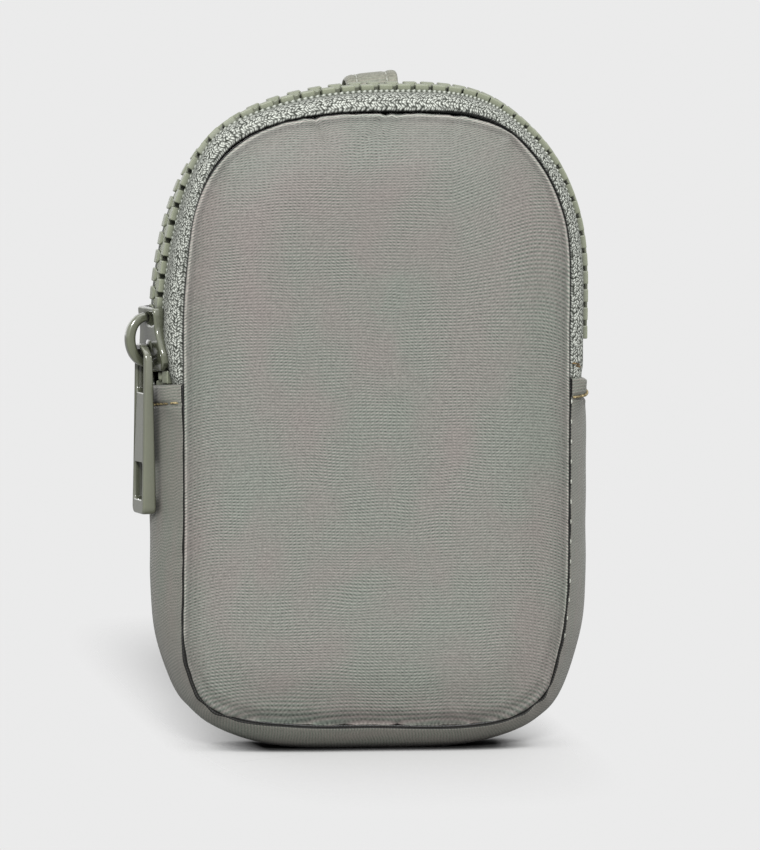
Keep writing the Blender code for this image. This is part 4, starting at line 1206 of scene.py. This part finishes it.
# Puller: a long painted casting with a window at each end, thicker towards its foot and bare
# between. It hangs on the bail by its upper window.
PULLER_LENGTH = 0.0365
PULLER_WIDTH = 0.0088
PULLER_THICKNESS = 0.0016
PULLER_FOOT_THICKNESS = 0.003
PULLER_FRAME_WIDTH = 0.0012
PULLER_TOP_WINDOW = 0.0092
PULLER_FOOT_WINDOW = 0.0078
PULLER_FOOT = 0.0032
PULLER_SIDE = 0.0013
PULLER_SHOULDER = 0.0036
PULLER_EDGE = 0.0003
PULLER_FOOT_CORNER = 0.0016
EYE_LOW_CORNER = 0.0011
EYE_HIGH_CORNER = 0.0026
WINDOW_CORNER = 0.0006
PULLER_SEAT = 0.00078
PULLER_CURL = 0.0006
PULLER_TURN = math.radians(2.6)

puller_low, puller_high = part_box("puller")
puller_finish = painted_finish("puller_paint", srgb(112, 115, 96), srgb(126, 129, 111), 0.22)


def window_outline(low, high, half_width, low_radius, high_radius):
    """A rounded rectangle whose two ends have corners of their own."""
    middle, half = 0.5 * (low + high), 0.5 * (high - low)
    upper = [p for p in rounded_loop(half, half_width, high_radius, 8) if p[0] > 0]
    lower = [p for p in rounded_loop(half, half_width, low_radius, 8) if p[0] < 0]
    points = sorted(upper + lower, key=lambda p: math.atan2(p[1], p[0]))
    return [(middle + a, b) for a, b in points]


def filled_outline(name, outlines, thickness, edge):
    """A plate from its outline and the outlines of its windows, with rounded edges."""
    curve = bpy.data.curves.new(name, "CURVE")
    curve.dimensions = "2D"
    curve.fill_mode = "BOTH"
    curve.extrude = 0.5 * thickness - edge
    curve.bevel_depth = edge
    curve.bevel_resolution = 3
    curve.offset = -edge
    for outline in outlines:
        spline = curve.splines.new("POLY")
        spline.points.add(len(outline) - 1)
        for point, (a, b) in zip(spline.points, outline):
            point.co = (a, b, 0.0, 1.0)
        spline.use_cyclic_u = True
    line = bpy.data.objects.new(name, curve)
    bpy.context.scene.collection.objects.link(line)
    mesh = bpy.data.meshes.new_from_object(line.evaluated_get(bpy.context.evaluated_depsgraph_get()))
    bpy.data.objects.remove(line, do_unlink=True)
    return mesh


def build_puller():
    """The tab hangs straight down, turned a little from the slider's own direction."""
    top = 0.5 * PULLER_FRAME_WIDTH
    foot = top - PULLER_LENGTH
    half = 0.5 * PULLER_WIDTH
    window = half - PULLER_SIDE
    eye = top - PULLER_FRAME_WIDTH
    outlines = [
        window_outline(foot, top, half, PULLER_FOOT_CORNER, PULLER_SHOULDER),
        window_outline(eye - PULLER_TOP_WINDOW, eye, window, EYE_LOW_CORNER, EYE_HIGH_CORNER),
        window_outline(foot + PULLER_FOOT, foot + PULLER_FOOT + PULLER_FOOT_WINDOW, window,
                       WINDOW_CORNER, WINDOW_CORNER),
    ]
    mesh = filled_outline("puller_tab", outlines, PULLER_THICKNESS, PULLER_EDGE)
    mesh.materials.clear()
    mesh.materials.append(puller_finish)
    for vertex in mesh.vertices:
        share = (top - vertex.co.x) / PULLER_LENGTH
        grow = 1 + (PULLER_FOOT_THICKNESS / PULLER_THICKNESS - 1) * float(smooth_step(share, 0.05, 1.0))
        vertex.co.z = vertex.co.z * grow + PULLER_CURL * float(smooth_step(-share, -0.13, 0.0)) ** 2
    mesh.shade_smooth()
    piece = bpy.data.objects.new("puller_tab", mesh)
    bpy.context.scene.collection.objects.link(piece)
    across = SLIDER_FRAME.to_3x3() @ Vector((0, 1, 0))
    across = Matrix.Rotation(PULLER_TURN, 3, "Z") @ (across - Vector((0, 0, across.z))).normalized()
    up = Vector((0, 0, 1))
    out = across.cross(up)
    if out.x > 0:
        out = -out
    matrix = Matrix((up, across, out)).transposed().to_4x4()
    middle = 0.5 * (puller_low + puller_high)
    matrix.translation = Vector((middle.x, middle.y, puller_high.z - top)) - out * PULLER_SEAT
    piece.matrix_world = matrix
    return piece


puller = build_puller()
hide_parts("puller")
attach(puller, "puller")


# Hang loop: a strap of the shell cloth with turned and stitched edges. It is folded over itself,
# caught in the top of the back seam, and droops behind the panel.
LOOP_STRAP = 0.001
LOOP_WIDTH = 0.0112
LOOP_TILT = 0.09
LOOP_STITCH_SHARE = 0.58
LOOP_SHIFT = 0.00185
LOOP_LOWER = 0.0004
FAR_FROM_SEAM = 5
LOOP_DROOP = 0.0006
LOOP_CREST_RISE = 0.0022
LOOP_ROOT_DEPTH = 0.0009
LOOP_RETURN_START = 0.0035
LOOP_RETURN_END = 0.0031
loop_low, loop_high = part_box("hang_loop")


def loop_path(steps=14):
    """Points (y, z) of the strap's middle, from its root over the crest and under again."""
    inner = HALF_DEPTH + BACK_CROWN + CLEARANCE + 0.5 * LOOP_STRAP
    outer = loop_high.y - 0.5 * LOOP_STRAP
    first = loop_low.y + 0.5 * LOOP_STRAP
    crest = loop_high.z - 0.5 * LOOP_STRAP
    base = crest - LOOP_CREST_RISE
    middle, reach = 0.5 * (first + outer), 0.5 * (outer - first)
    path = [(first, base - LOOP_ROOT_DEPTH), (first, base - 0.0004)]
    for angle in np.linspace(math.pi, 0, steps):
        path.append((middle + reach * math.cos(angle), base + (crest - base) * math.sin(angle) ** 0.8))
    radius = 0.5 * (outer - inner)
    foot = loop_low.z + 0.5 * LOOP_STRAP + radius
    path += [(outer, base + (foot - base) * share) for share in (0.33, 0.67)]
    for angle in np.linspace(0, -math.pi, 9):
        path.append((inner + radius + radius * math.cos(angle), foot + radius * math.sin(angle)))
    path += [(inner, foot + (base - LOOP_RETURN_START - foot) * share) for share in (0.4, 0.8)]
    path += [(inner, base - LOOP_RETURN_END), (first + LOOP_STRAP + CLEARANCE, base - LOOP_ROOT_DEPTH)]
    return np.array(path)


def path_normals(path):
    """Directions square to a path in the plane of y and z."""
    along = np.gradient(path, axis=0)
    along /= np.linalg.norm(along, axis=1, keepdims=True)
    return np.stack([-along[:, 1], along[:, 0]], 1)


def path_lengths(path):
    return np.concatenate([[0.0], np.cumsum(np.linalg.norm(np.diff(path, axis=0), axis=1))])


def strap_rings(path, half_width):
    """The strap's section: a puffed middle between two puffed borders, drawn in at the stitches."""
    normal = path_normals(path)
    share = np.sin(np.linspace(-1, 1, 41) * 0.5 * math.pi)
    side = np.abs(share)
    notch = np.exp(-((side - LOOP_STITCH_SHARE) / 0.055) ** 2)
    puff = np.where(side > LOOP_STITCH_SHARE, 1.18, 1.0)
    tip = np.sqrt(np.clip(1 - (np.maximum(0, side - 0.82) / 0.18) ** 2, 0.02, 1))
    thick = 0.5 * LOOP_STRAP * puff * (1 - 0.7 * notch) * tip
    round_trip = np.concatenate([share, share[::-1]])
    off = np.concatenate([thick, -0.8 * thick[::-1]])
    x = round_trip * half_width
    droop = -LOOP_DROOP * np.abs(round_trip) ** 3 * (round_trip < 0)
    y = path[:, 0:1] + normal[:, 0:1] * off
    z = path[:, 1:2] + normal[:, 1:2] * off + LOOP_TILT * x + droop
    return as_points(x, y, z)


def build_loop():
    path = loop_path()
    rings = strap_rings(path, 0.5 * LOOP_WIDTH)
    rings[..., 0] += LOOP_SHIFT
    rings[..., 2] -= LOOP_LOWER
    weave = as_points(rings[..., 0] * MM, path_lengths(path)[:, None] * MM, FAR_FROM_SEAM)
    piece = add_mesh("strap_loop", rings, solid_faces(*rings.shape[:2], False), loop_cloth, weave)
    turn_outward(piece)
    smoother = piece.modifiers.new("smooth", "SUBSURF")
    smoother.levels = smoother.render_levels = 1
    return piece


loop_cloth = shell_finish("loop_cloth", srgb(146, 144, 132), srgb(140, 146, 131), 0.1, 0.4, rim=1.0)
strap_loop = build_loop()
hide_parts("hang_loop")
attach(strap_loop, "loop")


# Stitches: short lengths of twisted thread that dip into the cloth at both ends. Tan thread sews
# the two hems and tacks the front tape, and thread of the shell's colour sews the hang loop.
STITCH_LENGTH = 0.0022
STITCH_GAP = 0.0005
THREAD_RADIUS = 0.00025
STITCH_LIFT = 0.0002
ROW_MARGIN = 0.0004
RIGHT_ROW_MARGIN = 0.0002
RIGHT_STITCH_RAISE = 0.0009
LEFT_STITCH_DRIFT = 0.03
RIGHT_STITCH_DRIFT = -0.07
LOOP_STITCH_LENGTH = 0.0019
LOOP_STITCH_GAP = 0.0004
LOOP_THREAD_RADIUS = 0.00015
LOOP_STITCH_LIFT = -0.00004
LOOP_ROW = (0.001, 0.0155)
LOOP_GROOVE = 0.6
TACK_LENGTH = 0.0024
TACK_RADIUS = 0.00022
TACK_ABOVE_HEM = 0.0036
TACK_SLANT = 0.25
TACK_APART = 0.00038
SEAM_DOT_START = 0.004
SEAM_DOT_COUNT = 13
SEAM_DOT_HALF = 0.00045
SEAM_DOT_RADIUS = 0.00014


def thread_finish(name, dark, light):
    thread = Finish(name, 0.6, 0.3)
    place = thread.place()
    fibre = thread.remap(thread.noise(place, 1500.0, 2.0, 0.7), 0.36, 0.64, 0.0, 1.0)
    thread.set("Base Color", thread.mix(fibre, dark, light))
    thread.bump(fibre, 0.00006, 0.7)
    return thread.material


tan_thread = thread_finish("tan_thread", srgb(92, 80, 52), srgb(206, 188, 142))
shell_thread = thread_finish("shell_thread", srgb(150, 152, 142), srgb(214, 216, 206))


def thread_rings(points, radius, sides=8):
    """A round thread along the points, as rings."""
    points = np.asarray(points)
    along = np.gradient(points, axis=0)
    along /= np.linalg.norm(along, axis=1, keepdims=True)
    side = np.cross(along, (0.31, 0.52, 0.79))
    side /= np.linalg.norm(side, axis=1, keepdims=True)
    other = np.cross(along, side)
    angle = np.linspace(0, TURN, sides, endpoint=False)
    rings = points[:, None] + radius * (np.cos(angle)[None, :, None] * side[:, None]
                                        + np.sin(angle)[None, :, None] * other[:, None])
    return [[tuple(p) for p in ring] for ring in rings]


def stitch_points(place_of, start, length, lift, dip=0.0006, count=9):
    """Points of one stitch; place_of gives the point at a run and a height above the cloth."""
    runs = np.linspace(start, start + length, count)
    share = np.linspace(0, 1, count)
    heights = lift - dip * np.abs(2 * share - 1) ** 5
    return [place_of(run, height) for run, height in zip(runs, heights)]


def stitch_row(name, place_of, start, end, lift, material, node, length=STITCH_LENGTH, gap=STITCH_GAP,
               radius=THREAD_RADIUS):
    """A row of stitches from one run to another, the last one cut to fit."""
    groups = []
    run = start
    while run + 0.6 * length < end:
        size = min(length, end - run)
        groups.append(thread_rings(stitch_points(place_of, run, size, lift), radius))
        run += length + gap
    piece = join_rings(name, groups, material)
    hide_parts(node)
    return piece


def hem_line(station, distance, drift=0.0):
    """Places across the gusset at a distance below the fold, drifting along as a hand-fed seam does."""
    direction = -1 if station == LEFT_HEM else 1
    skew = LEFT_HEM_SKEW if station == LEFT_HEM else -RIGHT_HEM_SKEW

    def place(y, height):
        s = station + direction * (distance + drift * y) - skew * y
        return skin(s, y, -(height + float(hem_profile(np.array(distance)))))
    return place


left_line = hem_line(LEFT_HEM, HEM_WIDTH, LEFT_STITCH_DRIFT)
right_line = hem_line(RIGHT_HEM, HEM_WIDTH - RIGHT_STITCH_RAISE, RIGHT_STITCH_DRIFT)
row_end = EDGE_Y - ROW_MARGIN
left_stitches = stitch_row("left_hem_stitches", left_line, -EDGE_Y + ROW_MARGIN, row_end, STITCH_LIFT,
                           tan_thread, "left_topstitch")
right_stitches = stitch_row("right_hem_stitches", right_line, -EDGE_Y + RIGHT_ROW_MARGIN, row_end,
                            STITCH_LIFT, tan_thread, "right_topstitch")
tack_thread = thread_finish("tack_thread", srgb(74, 58, 34), srgb(150, 124, 82))


def tack_threads():
    """Two threads side by side that hold the front tape down above the hem."""
    groups = []
    for row in (-0.6, 0.6):
        def place(y, height):
            s = RIGHT_HEM - TACK_ABOVE_HEM + TACK_SLANT * (y + EDGE_Y) + TACK_APART * row
            return skin(s, y, TAPE_DEPTH - height)
        start = -EDGE_Y + 0.0003 + 0.0003 * row
        groups.append(thread_rings(stitch_points(place, start, TACK_LENGTH, STITCH_LIFT), TACK_RADIUS))
    return join_rings("tape_tack", groups, tack_thread)


tack = tack_threads()
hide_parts("right_bar_tack")
for piece in (left_stitches, right_stitches, tack):
    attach(piece, "pouch")


def seam_dots():
    """Tiny stitches that show in the right-hand seam below the hem."""
    groups = []
    start = RIGHT_HEM + SEAM_DOT_START
    for k in range(SEAM_DOT_COUNT):
        s = SIDE_STITCH_PITCH * (round(start / SIDE_STITCH_PITCH) + k)
        run = np.linspace(s - SEAM_DOT_HALF, s + SEAM_DOT_HALF, 5)
        points = skin(run, -EDGE_Y - 0.0002, -0.00005 + 0 * run)
        points[:, 1] -= np.array([0.0, 0.00016, 0.0002, 0.00016, 0.0])
        groups.append(thread_rings(points, SEAM_DOT_RADIUS, 6))
    return join_rings("seam_dots", groups, shell_thread)


dots = seam_dots()
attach(dots, "pouch")


def loop_stitches(name, share, node):
    """A row of small stitches along one edge of the strap, on its outer face."""
    path = loop_path()
    normal = path_normals(path)
    length = path_lengths(path)
    x = share * 0.5 * LOOP_WIDTH

    def place(run, height):
        off = 0.5 * LOOP_STRAP * LOOP_GROOVE + height
        y = np.interp(run, length, path[:, 0] + normal[:, 0] * off)
        z = np.interp(run, length, path[:, 1] + normal[:, 1] * off)
        return np.array([x + LOOP_SHIFT, y, z + LOOP_TILT * x - LOOP_LOWER])

    piece = stitch_row(name, place, *LOOP_ROW, LOOP_STITCH_LIFT, shell_thread, node,
                       LOOP_STITCH_LENGTH, LOOP_STITCH_GAP, LOOP_THREAD_RADIUS)
    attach(piece, "loop")


loop_stitches("loop_stitches_left", -LOOP_STITCH_SHARE, "loop_stitch_left")
loop_stitches("loop_stitches_right", LOOP_STITCH_SHARE, "loop_stitch_right")


# Inside: a plain woven lining on every wall, a little slack, and seam allowances bound with the
# same cloth. It shows when the front folds forward.
LINING_EDGE_Y = 0.0078
LINING_THICKNESS = 0.0005
LINING_GAP = 0.0002
LINING_SLACK = 0.00015
LINING_WAVE_X = 0.021
LINING_WAVE_Z = 0.034
BAND_LINING_SLACK = 0.00012
BAND_LINING_WAVE = 0.013
FRONT_LINING_INSET = 0.0028
BACK_LINING_INSET = 0.0038
BINDING_DEPTH = 0.0024
BINDING_THICKNESS = 0.0006
BINDING_Y = (0.0095, 0.0081)
BINDING_BULGE = 0.00012
BINDING_BULGE_PITCH = 0.0031


def lining_finish():
    cloth = Finish("lining_cloth", 0.7, 0.3)
    place = cloth.place()
    cloud = cloth.noise(place, 90.0, 3.0)
    grain = cloth.noise(place, 3200.0, 2.0, 0.7)
    value = cloth.math("MULTIPLY_ADD", grain, 0.5, 0.75)
    colour = cloth.mix(cloud, srgb(104, 106, 98), srgb(118, 120, 111))
    cloth.set("Base Color", cloth.brighten(colour, value))
    cloth.bump(grain, 0.00005, 0.7)
    return cloth.material


lining_cloth = lining_finish()


def wall_lining(name, inset, extra, direction):
    """A thin cloth just inside a padded panel, with slack ripples."""
    places = np.linspace(0.0, GIRTH, 200, endpoint=False)[None, :]
    shares = np.linspace(0.0, 1.0, 16)[:, None]
    edge_x, edge_z, spine_z = panel_edge(places, inset(places) + extra)
    px = edge_x * (1 - shares)
    pz = spine_z + (edge_z - spine_z) * (1 - shares)
    ripple = LINING_SLACK * np.sin(TURN * px / LINING_WAVE_X + 1.0) * np.sin(TURN * pz / LINING_WAVE_Z)
    face_y = PANEL_BACK_Y - LINING_GAP
    near = as_points(px, direction * face_y, pz)
    far = as_points(px, direction * (face_y - LINING_THICKNESS - np.abs(ripple)), pz)
    rows = np.concatenate([near[::-1], far])
    faces = grid_faces(*rows.shape[:2], False, True)
    piece = add_mesh(name, rows, faces, lining_cloth)
    turn_outward(piece)
    return piece


front_lining = wall_lining("front_lining", front_inset, FRONT_LINING_INSET, -1)
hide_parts("front_lower_lining", "front_upper_lining")
follow_fold(front_lining)
back_lining = wall_lining("back_lining", back_inset, BACK_LINING_INSET, 1)
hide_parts("back_panel_lining")
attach(back_lining, "pouch")


def build_gusset_lining():
    """The lining of the band, from hem to hem under the gusset cloth."""
    reach = LEFT_HEM - TAIL_LENGTH - CLEARANCE
    s = np.linspace(-reach, reach, 220)[:, None]
    y = np.linspace(-LINING_EDGE_Y, LINING_EDGE_Y, 24)[None, :]
    across = np.cos(0.5 * math.pi * y / LINING_EDGE_Y)
    ripple = BAND_LINING_SLACK * np.sin(TURN * s / BAND_LINING_WAVE) * across
    depth = GUSSET_CLOTH + CLEARANCE
    outer = skin(s, y, depth + 0 * y)
    inner = skin(s, y, depth + LINING_THICKNESS + np.abs(ripple))
    weave = as_points(y * MM, s * MM, 0.0)
    return add_band("gusset_inner", outer, inner, weave, lining_cloth)


def binding_piece(name, side):
    """A folded strip round the seam allowance, all the way along the seam."""
    s = np.linspace(0.0, GIRTH, 300, endpoint=False)[:, None]
    y = side * np.linspace(*BINDING_Y, 5)[None, :]
    bulge = BINDING_BULGE * np.sin(TURN * s / BINDING_BULGE_PITCH) + 0 * y
    outer = skin(s, y, BINDING_DEPTH + 0 * s)
    inner = skin(s, y, BINDING_DEPTH + BINDING_THICKNESS + bulge)
    weave = as_points(y * MM, s * MM, 0.0)
    return add_band(name, outer, inner, weave, lining_cloth, closed=True)


gusset_inner = build_gusset_lining()
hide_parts("gusset_lining")
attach(gusset_inner, "pouch")
front_binding = binding_piece("front_binding", -1)
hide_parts("front_lower_binding", "front_upper_binding")
follow_fold(front_binding)
back_binding = binding_piece("back_binding", 1)
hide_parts("back_seam_binding")
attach(back_binding, "pouch")


# Camera: a long lens a little to the left of the front, just above the middle of the pouch.
# The scale on the picture is that of a number 8 zip chain, 4.65 pixels to the millimetre.
CAMERA_AZIMUTH = math.radians(-7.0)
CAMERA_ELEVATION = math.radians(4.0)
CAMERA_DISTANCE = 2.285
CAMERA_TARGET = Vector((0.00217, 0.0, 0.0692))
LENS = 450.0

toward_camera = Vector((
    math.sin(CAMERA_AZIMUTH) * math.cos(CAMERA_ELEVATION),
    -math.cos(CAMERA_AZIMUTH) * math.cos(CAMERA_ELEVATION),
    math.sin(CAMERA_ELEVATION),
))
camera = bpy.data.objects.new("camera", bpy.data.cameras.new("camera"))
bpy.context.scene.collection.objects.link(camera)
camera.data.lens = LENS
camera.data.clip_start = 0.05
camera.location = CAMERA_TARGET + toward_camera * CAMERA_DISTANCE
camera.rotation_euler = toward_camera.to_track_quat("Z", "Y").to_euler()
bpy.context.scene.camera = camera


# Floor and light: a plain pale floor that fades into a backdrop of its own colour beyond the
# shadow, an even sky, a low lamp in front with soft edges, a broad lamp above, and a weak one behind
# that gives only glints.
BACKGROUND = srgb(235, 235, 235)
SKY = 0.46
FRONT_LAMP = 2.28
FRONT_LAMP_SOFTNESS = math.radians(9)
FRONT_LAMP_DIRECTION = Vector((-0.075, -0.925, 0.375))
TOP_LAMP = 0.75
TOP_LAMP_SOFTNESS = math.radians(45)
TOP_LAMP_DIRECTION = Vector((0.05, -0.35, 0.93))
GLINT_LAMP = 0.12
GLINT_LAMP_SOFTNESS = math.radians(30)
GLINT_LAMP_DIRECTION = Vector((-0.36, 0.93, 0.15))
FLOOR_SEEN = (0.8, 0.8, 0.8)
FLOOR_BOUNCE = (0.4, 0.4, 0.4)
FLOOR_HALF = 80.0
FLOOR_CENTRE = (0.002, 0.1)
FLOOR_REACH = (0.0445, 0.22)


def build_floor():
    """A floor that the camera sees fade into the backdrop, with painted shade at the pouch's foot, and that
    lights the pouch less than it shows.
    """
    ground = Finish("floor", 0.9, 0.0)
    seen = ground.node("ShaderNodeLightPath").outputs["Is Camera Ray"]
    # Painted contact shadow where the pouch stands on the floor.
    colour = ground.brighten(ground.mix(seen, FLOOR_BOUNCE, FLOOR_SEEN), ground.painted_gap_shade(0.005, 0.05))
    ground.set("Base Color", colour)
    parts = ground.node("ShaderNodeSeparateXYZ")
    ground.put(parts.inputs[0], ground.place())
    squares = []
    for axis in (0, 1):
        run = ground.math("SUBTRACT", parts.outputs[axis], FLOOR_CENTRE[axis])
        run = ground.math("DIVIDE", run, FLOOR_REACH[axis])
        squares.append(ground.math("POWER", ground.math("ABSOLUTE", run), 4.0))
    distance = ground.math("POWER", ground.math("ADD", *squares), 0.25)
    far = ground.math("SMOOTH_MIN", ground.remap(distance, 0.62, 1.05, 0.0, 1.0), 1.0, 0.1)
    blend = ground.node("ShaderNodeMixShader")
    clear = ground.node("ShaderNodeBsdfTransparent")
    ground.put(blend.inputs[0], ground.math("MULTIPLY", far, seen))
    ground.tree.links.new(ground.shader.outputs[0], blend.inputs[1])
    ground.tree.links.new(clear.outputs[0], blend.inputs[2])
    ground.tree.links.new(blend.outputs[0], ground.tree.nodes["Material Output"].inputs[0])
    corners = [(a * FLOOR_HALF, b * FLOOR_HALF, 0) for a, b in ((-1, -1), (1, -1), (1, 1), (-1, 1))]
    floor = add_mesh("floor", corners, [[0, 1, 2, 3]], ground.material, smooth=False)


def build_world():
    """An even sky for the light, and the backdrop's colour for the camera and for reflections."""
    world = bpy.data.worlds.new("sky")
    bpy.context.scene.world = world
    world.use_nodes = True
    nodes, links = world.node_tree.nodes, world.node_tree.links
    sky = nodes["Background"]
    sky.inputs["Color"].default_value = (1, 1, 1, 1)
    sky.inputs["Strength"].default_value = SKY
    seen = nodes.new("ShaderNodeBackground")
    seen.inputs["Color"].default_value = (*BACKGROUND, 1)
    path = nodes.new("ShaderNodeLightPath")
    either = nodes.new("ShaderNodeMath")
    either.operation = "MAXIMUM"
    links.new(path.outputs["Is Camera Ray"], either.inputs[0])
    links.new(path.outputs["Is Glossy Ray"], either.inputs[1])
    blend = nodes.new("ShaderNodeMixShader")
    links.new(either.outputs[0], blend.inputs[0])
    links.new(sky.outputs[0], blend.inputs[1])
    links.new(seen.outputs[0], blend.inputs[2])
    links.new(blend.outputs[0], nodes["World Output"].inputs[0])


def add_lamp(name, strength, softness, direction):
    """A far lamp that shines from a direction; its softness is how wide it looks in the sky."""
    lamp = bpy.data.objects.new(name, bpy.data.lights.new(name, "SUN"))
    lamp.data.energy = strength
    lamp.data.angle = softness
    lamp.rotation_euler = direction.to_track_quat("Z", "Y").to_euler()
    bpy.context.scene.collection.objects.link(lamp)
    return lamp


build_floor()
build_world()
add_lamp("front_lamp", FRONT_LAMP, FRONT_LAMP_SOFTNESS, FRONT_LAMP_DIRECTION)
add_lamp("top_lamp", TOP_LAMP, TOP_LAMP_SOFTNESS, TOP_LAMP_DIRECTION)
glint_lamp = add_lamp("glint_lamp", GLINT_LAMP, GLINT_LAMP_SOFTNESS, GLINT_LAMP_DIRECTION)
glint_lamp.data.diffuse_factor = 0.0
bpy.context.scene.view_settings.view_transform = "Standard"
